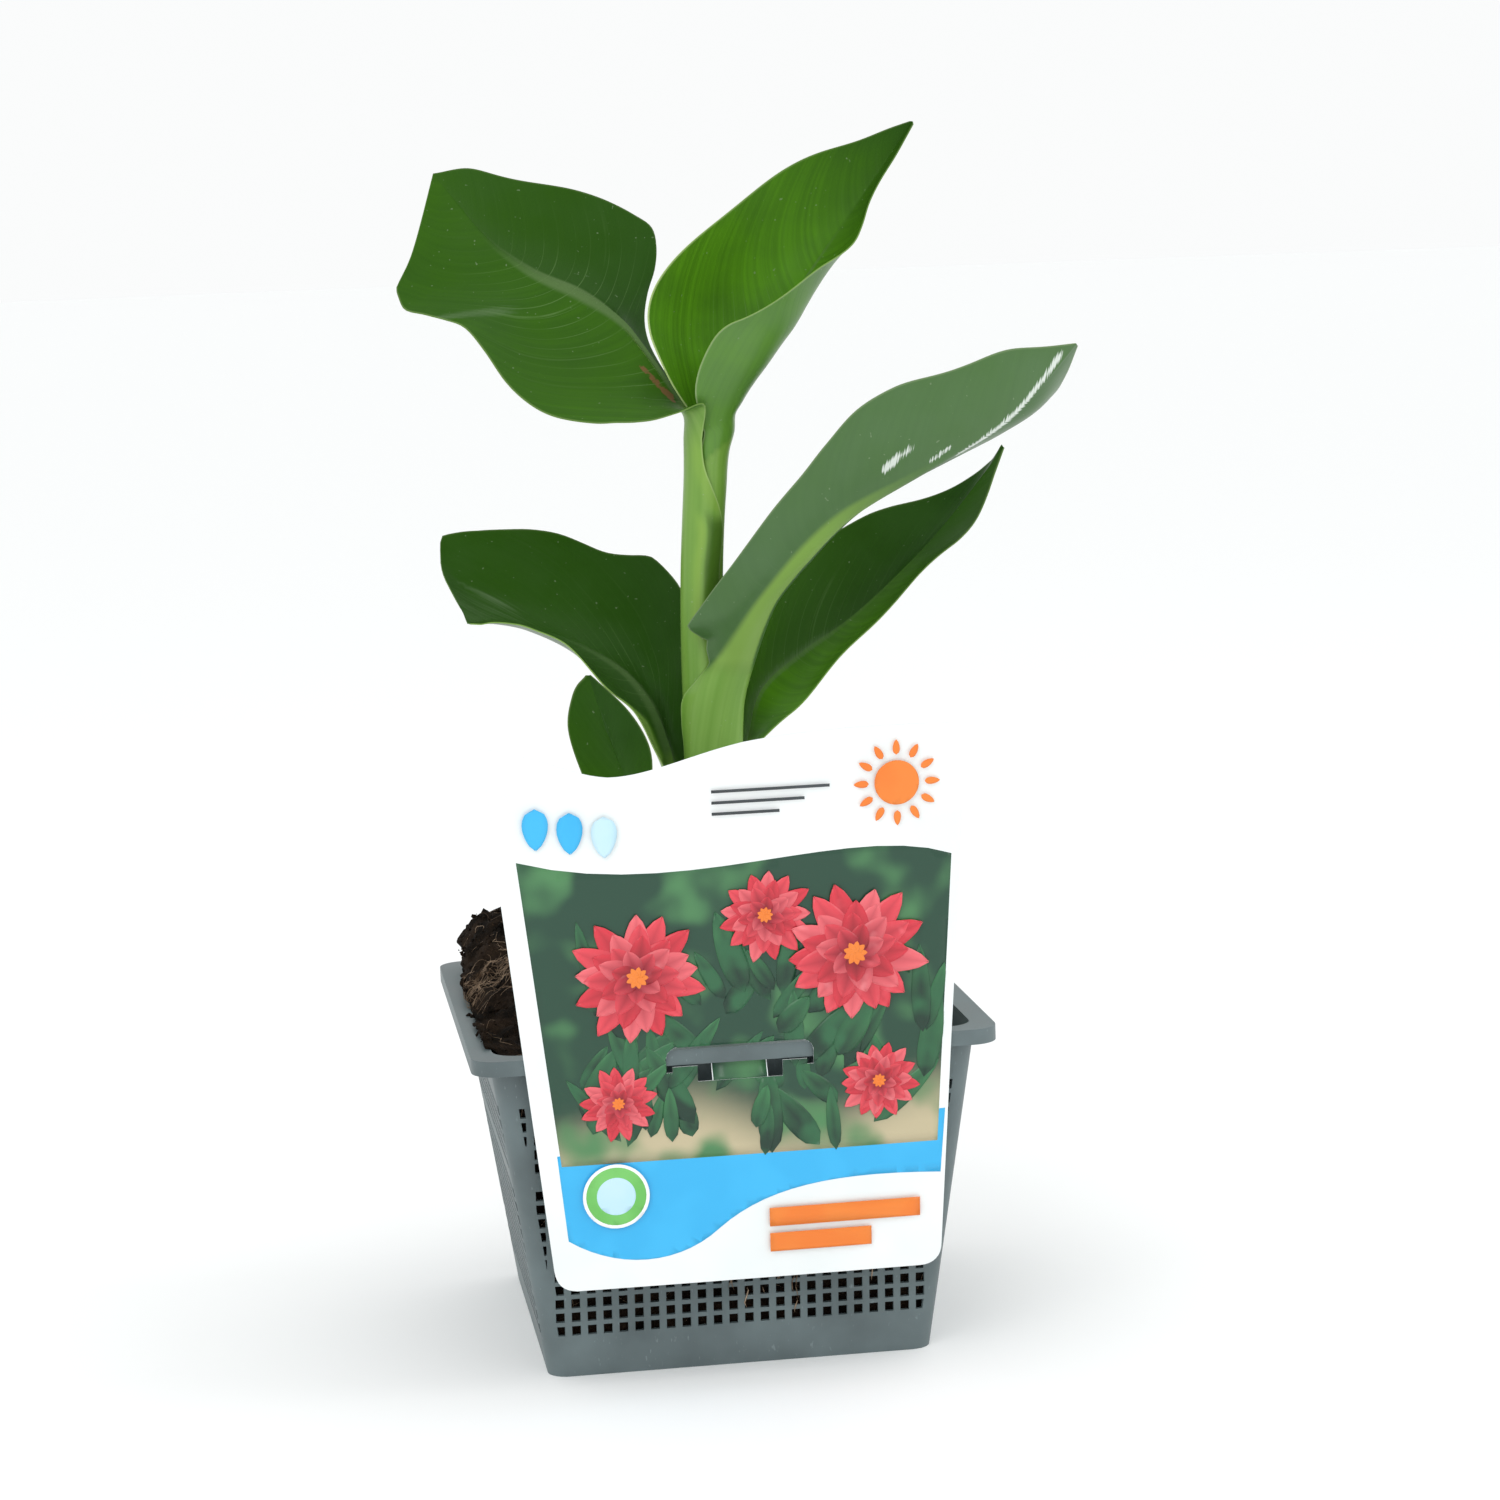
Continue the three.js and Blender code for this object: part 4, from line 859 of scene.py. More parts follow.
# Each leaf: its sheath's rows as height, angle, left and right turn, radius and shift; then the
# midrib, both margins and the hollow of each half from foot to tip. rib is the half width of the
# midrib, rib_end where it has faded away, and rib_clear how well it and the veins show. sheath_end
# is where the sheath's colour ends, over how much it fades, and how much sooner it ends at the
# margins. For the left and the right half, tone is the brightness from foot to tip, lean how far
# the veins slant forward, and hem how clear the margin is. corners are the side, the place, the
# reach and the spread of each corner or notch in a margin.
LEAVES = {
    "leaf_upper_left": dict(
        sheath=[(107, 150, 160, 110, 7.8), (200, 150, 160, 110, 7.8), (262, 150, 162, 108, 7.8),
                (286, 150, 165, 105, 7.8), (306, 150, 165, 95, 7.8), (311, 150, 150, 92, 7.8),
                (317, 150, 130, 88, 7.8), (323, 150, 112, 85, 7.9), (334, 150, 100, 80, 8.4)],
        midrib=[(3, 4, 345), (-4, 9, 358), (-11, 17, 370), (-17, 26, 379), (-25, 34, 386),
                (-35, 41, 392), (-46, 46, 397), (-55, 52, 403), (-64, 58, 411), (-74, 66, 424),
                (-83, 76, 437)],
        left=[(6.5, -17, 348.5), (-9, -14, 344), (-22, -11, 343), (-35, -8, 342), (-50, -3, 347),
              (-64, 6, 359), (-76, 20, 377), (-88, 34, 384), (-100, 48, 389), (-93, 60, 408),
              (-83, 76, 437)],
        right=[(11, 9, 346), (1, 22, 354), (-6, 36, 369), (-6, 50, 383), (0, 60, 398), (0, 68, 414),
               (-14, 73, 423), (-32, 77, 429), (-49, 79, 434), (-68, 79, 438), (-83, 76, 437)],
        left_hollow=[0.2, 0.1, 0.08, 0.08, 0.08, 0.06, 0],
        right_hollow=[0.2, 0.18, 0.14, 0.1, 0.1, 0.08, 0],
        rib=[2.2, 2.4, 2.9, 3.6, 4.2, 4.0, 3.2, 2.2, 1.4, 0.9, 0.5], rib_end=0.82,
        sheath_end=(7.0, 8.0, 4.0),
        corners=[(0, 136.0, 2.0, 7.0)],
        tone=([0.34, 0.34, 0.28, 0.22, 0.24], [0.02, 0.02, 0.08, 0.13, 0.2]), lean=(1.4, 0.7),
        hem=([0.14, 0.14], [0.08, 0.08])),
    "leaf_top": dict(
        sheath=[(262, 15, 165, 165, 7.25), (290, 15, 165, 165, 7.25),
                (308, 15, 160, 160, 7.15, 0.2, 0), (318, 15, 155, 155, 6.8, 0.8, 0),
                (325, 15, 150, 150, 6.5, 1.2, 0), (330, 15, 150, 145, 6.7, 1.4, -0.3),
                (337, 15, 150, 140, 7.4, 2.2, -1)],
        midrib=[(20, -1, 345), (29, 2, 360), (40, 6, 378), (53, 8, 396), (72, 12, 420),
                (93, 10, 449)],
        left=[(3, -3, 345), (-6, -6, 361), (-11, -3, 381), (-3, 0, 397), (25, 6, 421),
              (57, 12, 438), (92, 10, 449)],
        right=[(6, -9, 341), (4, -17, 357), (12, -26, 374), (26, -26, 382), (46, -16, 392),
               (66, -4, 405), (76, 4, 422), (93, 9, 448)],
        left_hollow=[0.3, 0.25, 0.24, 0.18, 0.1, 0], right_hollow=[0.34, 0.34, 0.28, 0.2, 0.06, 0],
        rib=[1.2, 1.0, 0.8, 0.6, 0.5, 0.4], rib_end=0.7, rib_clear=0.7,
        sheath_end=(-8.0, 2.0, 13.0),
        tone=([1.0, 1.0, 0.78, 0.42, 0.02], [0.95, 0.9, 0.64, 0.3, 0.06]), lean=(2.2, 2.2),
        hem=([0.9, 0.9, 0.3, 0.12, 0.1], [0.28, 0.25, 0.2, 0.1, 0.1])),
    "leaf_middle_right": dict(
        sheath=[(107, -78, 110, 110, 9.1), (150, -78, 110, 110, 9.1), (196, -78, 108, 108, 9.3)],
        midrib=[(7, -12, 221), (10, -13, 238), (16, -15, 254), (27, -19, 275), (42, -24, 292),
                (58, -28, 306), (76, -31, 316), (99, -32, 328), (121, -30, 341), (145, -26, 365)],
        left=[(17, 5, 218), (18, 8, 235), (22, 14, 253), (30, 20, 275), (44, 22, 293),
              (61, 20, 311), (81, 12, 324), (108, 2, 333), (137, -10, 344), (146, -24, 364)],
        right=[(-4, -4, 220), (-4, -6, 238), (6, -10, 252), (-1, -14, 265), (16, -22, 292),
               (39, -32, 320), (58, -40, 344), (87, -42, 356), (114, -38, 363), (144, -27, 365)],
        left_hollow=[0.3, 0.24, 0.2, 0.14, 0.12, 0.1, 0.08, 0.1, 0.1, 0],
        right_hollow=[0.3, 0.24, 0.2, 0.14, 0.12, 0.12, 0.12, 0.1, 0.08, 0],
        rib=[12, 11, 9, 7.5, 6, 4.5, 3, 2, 1.4, 0.8], rib_end=0.72, sheath_end=(36.0, 9.0, 0.0),
        corners=[(1, 57.3, 1.6, 6.0), (1, 47.0, -4.2, 10.0)],
        tone=([0.3, 0.2, 0.1, 0.1, 0.1], [0.3, 0.14, 0.2, 0.22, 0.2]), lean=(0.9, 0.9),
        hem=([0.3, 0.2], [0.14, 0.1])),
    "leaf_lower_right": dict(
        sheath=[(107, 35, 85, 85, 11.9), (155, 35, 80, 80, 11.9), (180, 35, 60, 65, 13.5)],
        midrib=[(22, 13, 217), (29, 20, 236), (46, 30, 248), (67, 40, 259), (87, 47, 274),
                (109, 52, 294), (133, 50, 323)],
        left=[(17, 24, 215), (22, 38, 250), (41, 54, 277), (71, 66, 294), (99, 68, 302),
              (125, 60, 313), (132, 50, 324)],
        right=[(21, -1, 217), (32, 1, 225), (47, 8, 237), (68, 16, 256), (94, 28, 277),
               (119, 40, 297), (133, 50, 323)],
        left_hollow=[0.15, 0.12, 0.08, 0.08, 0.08, 0.05, 0],
        right_hollow=[0.15, 0.12, 0.1, 0.1, 0.1, 0.05, 0],
        rib=[2.4, 2.0, 1.6, 1.2, 1.0, 0.7, 0.4], rib_end=0.8, rib_clear=0.3,
        tone=([0.36, 0.26, 0.08, 0.0, 0.0], [0.62, 0.74, 0.6, 0.16, 0.06]), lean=(0.9, 0.9),
        hem=([0.1, 0.1], [0.1, 0.1])),
    "leaf_lower_left": dict(
        sheath=[(107, 155, 80, 80, 10.6), (155, 155, 78, 78, 10.6), (185, 155, 60, 70, 11)],
        midrib=[(-8, 6, 217), (-13, 10, 233), (-22, 18, 246), (-37, 26, 256), (-53, 32, 263),
                (-68, 34, 267), (-81, 32, 267)],
        left=[(-13, -8, 214), (-23, -6, 234.5), (-34, -8, 246), (-47, 0, 260), (-59, 10, 267),
              (-69, 20, 267), (-80, 28, 267)],
        right=[(-1, 16, 217), (5, 34, 263), (-5, 55, 282), (-21, 62, 288), (-41, 68, 296),
               (-64, 72, 298), (-84, 70, 298), (-88, 60, 286), (-82, 38, 270)],
        left_hollow=[0.18, 0.12, 0.08, 0.08, 0.08, 0.05, 0],
        right_hollow=[0.18, 0.14, 0.14, 0.12, 0.12, 0.1, 0],
        rib=[5.0, 4.8, 4.2, 3.2, 2.2, 1.4, 0.8], rib_end=0.7, rib_clear=0.6,
        corners=[(1, 106.5, 2.6, 6.0), (1, 44.0, 3.2, 20.0), (0, 124.0, 1.8, 6.0)],
        tone=([0.14, 0.1, 0.1, 0.1, 0.08], [0.06, 0.04, 0.08, 0.1, 0.06]), lean=(0.9, 0.9),
        hem=([0.6, 0.6, 0.2, 0.1, 0.1], [0.1, 0.1])),
    "leaf_small_left": dict(
        sheath=[(107, 220, 90, 90, 2.6, SHOOT_X - STEM_X, SHOOT_Y),
                (134, 220, 90, 90, 2.8, SHOOT_X - STEM_X - 1, SHOOT_Y - 1)],
        midrib=[(-18, -18, 165), (-22, -24, 186), (-27, -29, 204), (-32, -33, 219), (-37, -35, 234),
                (-42, -33, 252)],
        left=[(-21, -20, 165), (-34, -26, 190), (-45, -28, 213), (-50, -30, 232), (-48, -30, 245),
              (-43, -33, 252)],
        right=[(-15, -19, 165), (-16, -21, 188), (-19, -22, 204), (-19, -22, 221), (-28, -26, 239),
               (-41, -32, 252)],
        left_hollow=[0.2, 0.1, 0.08, 0.08, 0.08, 0], right_hollow=[0.2, 0.1, 0.08, 0.08, 0.08, 0],
        rib=[2.0, 1.6, 1.2, 0.9, 0.6, 0.4], rib_end=0.6, rib_clear=0.6,
        tone=([0.46, 0.42, 0.28, 0.14, 0.1], [0.42, 0.36, 0.2, 0.04, 0.0]), lean=(0.9, 0.9),
        hem=([0.15, 0.15], [0.15, 0.15])),
}
BLADE_ROWS = 18


class LeafForm:
    """The surface of one leaf: rows round the stem, then rows across the blade, joined smoothly."""

    def __init__(self, leaf, half_columns):
        self.leaf = leaf
        self.midrib, self.left, self.right = (vectors(leaf[k]) for k in ("midrib", "left", "right"))
        self.sides = [c / half_columns for c in range(-half_columns, half_columns + 1)]
        # Columns lie closer together near the midrib. Side -1 is the left margin, 1 the right one.
        self.sides = [math.copysign(abs(s) ** 1.2, s) for s in self.sides]
        count = len(leaf["sheath"])
        self.rows = [[self.sheath_point(row, s) for s in self.sides] for row in leaf["sheath"]]
        self.rows += [[self.blade_point(i / BLADE_ROWS, s) for s in self.sides]
                      for i in range(BLADE_ROWS + 1)]
        # Places of the rows along the leaf, in millimetres from the foot of the blade.
        probes = [0, half_columns // 2, half_columns, half_columns * 3 // 2, half_columns * 2]
        places = [0.0]
        for before, after in zip(self.rows, self.rows[1:]):
            places.append(places[-1] + sum((after[p] - before[p]).length for p in probes)
                          / len(probes))
        self.places = [p - places[count] for p in places]
        self.length = self.places[-1]

    def sheath_point(self, row, side):
        """A point of a row that is bent round the stem."""
        z, angle, left, right, radius, *shift = row
        turn = -side * (left if side < 0 else right)
        a = math.radians(angle + turn)
        dx, dy = shift or (0, 0)
        return stem_at(z) + Vector((dx + radius * math.cos(a), dy + radius * math.sin(a), 0))

    def blade_point(self, share, side):
        """A point of a row across the blade. Each half is hollow on its upper side."""
        middle = curve_at(self.midrib, share)
        if side == 0:
            return middle
        margin, hollow = ((self.left, self.leaf["left_hollow"]) if side < 0
                          else (self.right, self.leaf["right_hollow"]))
        across = curve_at(margin, share) - middle
        along = curve_at(self.midrib, share, slope=True)
        upper = along.cross(across) * (1 if side < 0 else -1)
        upper = upper.normalized() if upper.length else Vector((0, 0, 1))
        depth = value_at(hollow, share) * across.length
        u = abs(side)
        return middle + across * u - upper * depth * math.sin(math.pi * u ** 0.85)

    def point(self, place, column):
        """The point of a column at a place along the leaf, on a smooth curve through its rows."""
        i = max(k for k in range(len(self.places) - 1) if k == 0 or self.places[k] <= place)
        a, b = self.rows[i][column], self.rows[i + 1][column]
        span = self.places[i + 1] - self.places[i]
        f = (place - self.places[i]) / span
        return hermite(a, b, self.slope(i, column) * span, self.slope(i + 1, column) * span, f)

    def slope(self, i, column):
        """How a column moves at one of its rows, for a millimetre along the leaf."""
        spans = [(self.rows[k + 1][column] - self.rows[k][column],
                  self.places[k + 1] - self.places[k])
                 for k in (i - 1, i) if 0 <= k < len(self.rows) - 1]
        slopes = [step / span for step, span in spans]
        if len(spans) == 1:
            return slopes[0]
        (_, behind), (_, ahead) = spans
        return (slopes[1] * behind + slopes[0] * ahead) / (ahead + behind)


def thicken(bm, depth_of, behind=None, edge=None):
    """Gives an open sheet its thickness behind its faces, and closes it all round."""
    push = bm.verts.layers.float_vector.new("push")
    bm.normal_update()
    for vert in bm.verts:
        vert[push] = -vert.normal * depth_of(vert)
    front = set(bm.faces)
    made = bmesh.ops.extrude_face_region(bm, geom=bm.verts[:] + bm.edges[:] + bm.faces[:],
                                         use_keep_orig=True)["geom"]
    back = set(parts_of(made, bmesh.types.BMVert))
    for vert in back:
        vert.co += vert[push]
    for face in bm.faces:
        if behind is not None and face not in front:
            face.material_index = behind if back.issuperset(face.verts) else edge
    bm.verts.layers.float_vector.remove(push)
    bmesh.ops.recalc_face_normals(bm, faces=bm.faces)


def leaf_places(form, settings):
    """A fine leaf's rows: their places, their points and how far these are from the midrib."""
    foot = form.places[0]
    rows = round((form.length - foot) * settings.rows_per_mm)
    places = [lerp(foot, form.length, r / rows) for r in range(rows + 1)]
    columns = len(form.sides)
    points = [[form.point(place, c) for c in range(columns)] for place in places]
    middle = columns // 2
    distances = []
    for row in points:
        across = [0.0] * columns
        for c in range(middle, columns - 1):
            across[c + 1] = across[c] + (row[c + 1] - row[c]).length
        for c in range(middle, 0, -1):
            across[c - 1] = across[c] - (row[c] - row[c - 1]).length
        distances.append(across)
    return places, points, distances


def graze_at(place, across):
    """How strong the upper left leaf's dry graze is: a thin slanting line below the midrib."""
    off_line = abs(across + 2.2 + 0.19 * place)
    ends = smooth(2.0, 8.0, place) * (1 - smooth(26.0, 40.0, place))
    return ends * (1 - smooth(0.6, lerp(3.8, 1.5, smooth(8.0, 34.0, place)), off_line))


def crease_at(blade, side):
    """How strong the sheen on the upper left leaf's bend is, which runs out from the midrib."""
    off_line = abs(blade - lerp(0.49, 0.645, min(-side, 1.0))) * 150.0
    return (1 - smooth(0.5, 6.5, off_line)) * smooth(0.12, 0.6, -side) if side < 0 else 0.0


def fold_at(place, from_margin):
    """How much of a paler strip is painted along the lower left leaf's margin, standing for a
    folded-over one.
    """
    strip = 12.5 * smooth(-9.0, 0.0, place) * (1 - smooth(24.0, 48.0, place))
    return 1 - smooth(strip * 0.75, strip + 0.5, from_margin)


def tip_sheen_at(blade, across):
    """How strong the lower left leaf's sheen is: a veil at its tip, and a line along its top."""
    veil = 0.66 * smooth(0.6, 0.8, blade) * smooth(-12.0, 4.0, across)
    off_line = abs(across - lerp(22.0, 35.0, (blade - 0.785) / 0.108))
    line = 0.45 * smooth(0.72, 0.8, blade) * (1 - smooth(0.93, 0.98, blade))
    return veil * (1 - smooth(20.0, 40.0, across)) + line * (1 - smooth(0.5, 3.5, off_line))


def foot_sheen_at(blade, across):
    """How strong the lower right leaf's sheen is: along its midrib, and most near its foot."""
    width = 10.0 if across < 0 else 5.0
    near_foot = 0.8 * smooth(0.02, 0.12, blade) * (1 - smooth(0.35, 0.6, blade))
    return near_foot * (1 - smooth(0.5, width, abs(across)))


# Streaks of glare on the middle right leaf's underside: where each starts and ends along the leaf,
# how far from the midrib it lies there, and its half width.
GLARE_STREAKS = ((127, 151, 10.0, 14.6, 3.4), (145, 165, 3.2, 5.0, 2.2), (155, 221, -2.6, 3.2, 3.2))


def glare_at(place, across):
    """How strong the glare is where the middle right leaf faces the light."""
    most = 0.0
    for start, end, low, high, half in GLARE_STREAKS:
        off_line = abs(across - lerp(low, high, (place - start) / (end - start)))
        ends = smooth(start, start + 6.0, place) * (1 - smooth(end - 8.0, end, place))
        most = max(most, 0.62 * ends * max(1 - off_line / half, 0.0) ** 0.6)
    return most


def sheath_painted_shade_at(margin, place):
    """The stem's painted shade and light: a painted shadow below the sheath's overlap, highlights
    beside it.
    """
    low = smooth(-90.0, -80.0, place) * (1 - smooth(-45.0, -37.0, place))
    dark = 1 - smooth(5.4, 7.6, margin)
    bright = smooth(6.6, 8.2, margin) * (1 - smooth(9.0, 12.0, margin))
    above = smooth(-45.0, -37.0, place) * (1 - smooth(-16.0, -4.0, place))
    veil = above * (1 - smooth(2.0, 6.0, margin))
    return 0.5 + low * (0.3 * bright * (1 - dark) - 0.5 * dark) + 0.2 * veil


def make_leaf(name, leaf, settings, skins):
    """Builds one leaf, with the measures that its skin reads."""
    form = LeafForm(leaf, settings.half_columns)
    places, points, distances = leaf_places(form, settings)
    columns, rows = len(form.sides) - 1, len(places) - 1
    bm = bmesh.new()
    bm.loops.layers.uv.new("UVMap")
    fields = {field: bm.verts.layers.float.new(field) for field in LEAF_FIELDS}
    depth = bm.verts.layers.float.new("depth")
    phase = sum(map(ord, name)) % 50
    sheath_end, sheath_blend, sheath_drop = leaf.get("sheath_end", (6.0, 20.0, 14.0))
    rib_end, rib_clear = leaf["rib_end"], leaf.get("rib_clear", 1.0)

    def place_vert(vert, u, v):
        c, r = round(u * columns), round(v * rows)
        place, across = places[r], distances[r][c]
        side = 0 if across < 0 else 1
        blade = max(place / form.length, 0.0)
        width = abs(distances[r][columns * side])
        share = abs(across) / max(width, 0.01)
        # The sheath's colour reaches highest along the midrib.
        in_sheath = 1 - smooth(sheath_end - sheath_blend, sheath_end,
                               place + sheath_drop * share ** 2)
        rib_half = value_at(leaf["rib"], blade)
        slant = leaf["lean"][side] * width * (0.45 * share + 0.55 * share ** 2)
        vert[fields["across"]] = across
        vert[fields["margin"]] = width - abs(across)
        vert[fields["vein"]] = phase + place - slant
        vert[fields["rib_half"]] = rib_half
        vert[fields["rib_show"]] = rib_clear * (1 - smooth(rib_end - 0.35, rib_end, blade))
        # The sheath's tone: painted shade and light on the upper left leaf, and 0.5, which paints
        # none, elsewhere.
        sheath_painted_shade = 0.5
        if name == "leaf_lower_left":
            in_sheath = lerp(in_sheath, 0.85, fold_at(place, across - distances[r][0]))
        vert[fields["sheath"]] = in_sheath
        if name == "leaf_upper_left":
            vert[fields["scar"]] = graze_at(place, across)
            vert[fields["bend_sheen"]] = crease_at(blade, across / max(width, 0.01))
            if side == 0:
                sheath_painted_shade = sheath_painted_shade_at(width - abs(across), place)
        elif name == "leaf_lower_left":
            vert[fields["bend_sheen"]] = tip_sheen_at(blade, across)
        elif name == "leaf_lower_right":
            vert[fields["bend_sheen"]] = foot_sheen_at(blade, across)
        elif name == "leaf_middle_right":
            vert[fields["glare"]] = glare_at(place, across)
        vert[fields["tone"]] = lerp(value_at(leaf["tone"][side], blade), sheath_painted_shade, in_sheath)
        vert[fields["hem"]] = value_at(leaf["hem"][side], blade)
        rib = 0.5 + 0.5 * math.cos(math.pi * min(abs(across) / (rib_half * 1.3), 1.0))
        heavy = lerp(1.0, 0.15, smooth(0.0, 0.9, blade)) * smooth(-14.0, 9.0, place)
        heavy *= min(rib_half / 3.0, 1.0)
        vert[depth] = lerp(settings.blade, settings.rib, rib * heavy) / MM
        point = points[r][c].copy()
        # Where the margin has a corner or a notch, it is drawn out or in.
        for corner_side, corner, reach, spread in leaf.get("corners", ()):
            if side == corner_side and share > 0.5:
                near = max(1 - abs(place - corner) / spread, 0.0)
                outward = (points[r][columns * side] - points[r][columns // 2]).normalized()
                point += outward * reach * near ** 1.5 * smooth(0.5, 1.0, share)
        # A gentle ripple along the margins.
        ripple = 0.9 * share ** 3 * smooth(0.0, 0.25, blade) * (1 - smooth(0.85, 1.0, blade))
        point.z += ripple * math.sin(place / 7.5 + (2.0 if across < 0 else 0.0) + phase)
        return point

    grid(bm, columns, rows, place_vert)
    thicken(bm, lambda vert: vert[depth], behind=1, edge=2)
    bm.verts.layers.float.remove(depth)
    return finish_piece(name + "_blade", bm, skins, name, crease=55.0)


class CANNA_OT_stem(bpy.types.Operator):
    """Build the stem"""

    bl_idname = "canna.stem"
    bl_label = "Stem"

    def execute(self, context):
        bm = bmesh.new()
        columns, rows = 40, 80
        low, high = STEM_SECTIONS[0][0], STEM_SECTIONS[-1][0]

        def place(_, around, up):
            z = lerp(low, high, up)
            i = max(k for k in range(len(STEM_SECTIONS) - 1) if STEM_SECTIONS[k][0] <= z)
            (z0, r0, x0), (z1, r1, x1) = STEM_SECTIONS[i], STEM_SECTIONS[i + 1]
            f = (z - z0) / (z1 - z0)
            radius, shift = lerp(r0, r1, f), lerp(x0, x1, f)
            if up in (0.0, 1.0):
                radius = 0.0
            angle = around * math.tau
            x, y = shift + radius * math.cos(angle), radius * math.sin(angle)
            return stem_at(z) + Vector((x, y, 0))

        grid(bm, columns, rows, place)
        bmesh.ops.remove_doubles(bm, verts=bm.verts, dist=1e-4)
        bmesh.ops.recalc_face_normals(bm, faces=bm.faces)
        finish_piece("pseudostem", bm, [stem_skin(context.scene.canna_plant)], "stem")
        return {"FINISHED"}


class CANNA_OT_leaves(bpy.types.Operator):
    """Build the six leaves with their sheaths"""

    bl_idname = "canna.leaves"
    bl_label = "Leaves"

    def execute(self, context):
        skins = [leaf_skin(name, looks) for name, looks in LEAF_LOOKS.items()]
        for name, leaf in LEAVES.items():
            make_leaf(name, leaf, context.scene.canna_plant, skins)
        return {"FINISHED"}


# ---- Label ----

class LabelSettings(bpy.types.PropertyGroup):
    """Sizes and colours of the care label."""

    thickness: FloatProperty(name="Thickness", description="Thickness of the label film",
                             default=0.4 * MM, unit="LENGTH")
    lean: FloatProperty(name="Lean", description="How far the label leans forward, for its height",
                        default=0.09)
    front: FloatProperty(name="Front", description="How far forward the label's face is at the rim",
                         default=-96.6 * MM, unit="LENGTH")
    white: FloatVectorProperty(name="White", description="Colour of the film", subtype="COLOR",
                               default=linear("#f6f9f9")[:3])


# The slot that the rim comes through, its two legs and the window under it, as boxes.
SLOT_TOP = 125.2
SLOT_BOXES = ((-26.5, 118.0, 26.5, SLOT_TOP), (-26.5, 116.0, -24.2, 118.0),
              (24.2, 116.0, 26.5, 118.0), (-15.3, 112.2, 15.3, 118.0))
SLOT_CORNER = 4.2
TAB_HALF = 10.0
TAB_FOOT = 112.2
# How far the first print stands off the film.
PRINT_LIFT = 0.03
# The two directions of the label's flat drawing.
ACROSS = (1, 0, 0)
UP = (0, 0, 1)


def path(*steps):
    """A closed line of points. A pair is a corner, and a list of pairs a curve from the last point.

    The list holds the curve's two handles, its end and, where it isn't 14, its number of parts.
    """
    line = []
    for step in steps:
        if isinstance(step, tuple):
            line.append(Vector((step[0], 0, step[1])))
            continue
        a, (b, c, d) = line[-1], vectors([(x, 0, z) for x, z in step[:3]])
        parts = step[3] if len(step) > 3 else 14
        for k in range(1, parts + 1):
            t = k / parts
            line.append(a * (1 - t) ** 3 + b * 3 * t * (1 - t) ** 2 + c * 3 * t * t * (1 - t)
                        + d * t ** 3)
    return line[:-1] if line[-1] == line[0] else line


def label_outline():
    """The label's outline, counterclockwise as seen from the front, with a wavy top edge."""
    return path((-61, 37), (64, 37), [(69, 37), (72, 40), (72, 45), 8], (83.5, 237),
                [(55, 238), (28, 238), (4, 234.5)], [(-15, 231), (-30, 224), (-44, 224.5)],
                [(-58, 226), (-70, 235), (-88.5, 237)], (-69, 45),
                [(-68.4, 40), (-66, 37.4), (-61, 37), 8])


def slot_outline():
    """The slot, its legs and its window in one line, with rounded top corners."""
    (left, ledge, right, top), _, (leg, leg_foot, _, _), (_, window_foot, window, _) = SLOT_BOXES
    r, bend = SLOT_CORNER, SLOT_CORNER * 0.45
    return path((left, leg_foot), (left, top - r),
                [(left, top - bend), (left + bend, top), (left + r, top), 6], (right - r, top),
                [(right - bend, top), (right, top - bend), (right, top - r), 6], (right, leg_foot),
                (leg, leg_foot), (leg, ledge), (window, ledge), (window, window_foot),
                (-window, window_foot), (-window, ledge), (-leg, ledge), (-leg, leg_foot))


def on_label(point, settings, lift=0.0):
    """Where a flat point of the label's drawing lies: the film leans forward and bows a little."""
    bow = 0.9 * math.cos(point.x / 88 * math.pi / 2) - 0.5 * smooth(150, 240, point.z)
    bow *= smooth(0, 40, abs(point.z - 121))
    away = (point.z - POT_HEIGHT) * settings.lean
    return Vector((point.x, settings.front / MM - away - bow - lift, point.z))


def on_tab(x, up, settings, lift=0.0):
    """Where a point of the tab lies: it slopes back under the skirt and stands up behind it."""
    at = on_label(Vector((0, 0, TAB_FOOT)), settings).y + 0.1
    behind = -RIM_HALF + 2.2
    y = lerp(at, behind, smooth(-0.1, 0.66, up))
    return Vector((x, y - lift, lerp(TAB_FOOT, 121.2, up)))


def flat_sheet(bm, loops, cell=4.0):
    """Fills loops of points with faces, and cuts them into cells so that they can bend.

    All sheets are cut along the same lines, so that one lies evenly on the other.
    """
    edges = []
    for loop in loops:
        verts = [bm.verts.new(p) for p in loop]
        edges += [bm.edges.new((verts[i], verts[(i + 1) % len(verts)])) for i in range(len(verts))]
    made = bmesh.ops.triangle_fill(bm, edges=edges, use_beauty=True, normal=(0, -1, 0))["geom"]
    faces = parts_of(made, bmesh.types.BMFace)
    low = [min(p[axis] for p in loops[0]) for axis in (0, 2)]
    high = [max(p[axis] for p in loops[0]) for axis in (0, 2)]
    for k, normal in enumerate((ACROSS, UP)):
        at = math.ceil(low[k] / cell) * cell
        while at < high[k]:
            faces = cut_at(bm, faces, Vector(normal) * at, normal)
            at += cell
    return faces


def ring_of(x, z, radius, count=40):
    """Points round a circle."""
    turns = [k / count * math.tau for k in range(count)]
    return [Vector((x + radius * math.cos(turn), 0, z + radius * math.sin(turn))) for turn in turns]


def face_front(faces):
    """Turns the label's faces to the front."""
    for face in faces:
        face.normal_update()
        if face.normal.y > 0:
            face.normal_flip()


def tab_sheet(bm, settings, half, lift=0.0):
    """Adds the tab's sheet, and gives its faces."""
    made = bmesh.ops.create_grid(bm, x_segments=4, y_segments=8, size=0.5)
    for vert in made["verts"]:
        vert.co = on_tab(vert.co.x * 2 * half, vert.co.y + 0.5, settings, lift)
    return list({face for vert in made["verts"] for face in vert.link_faces})


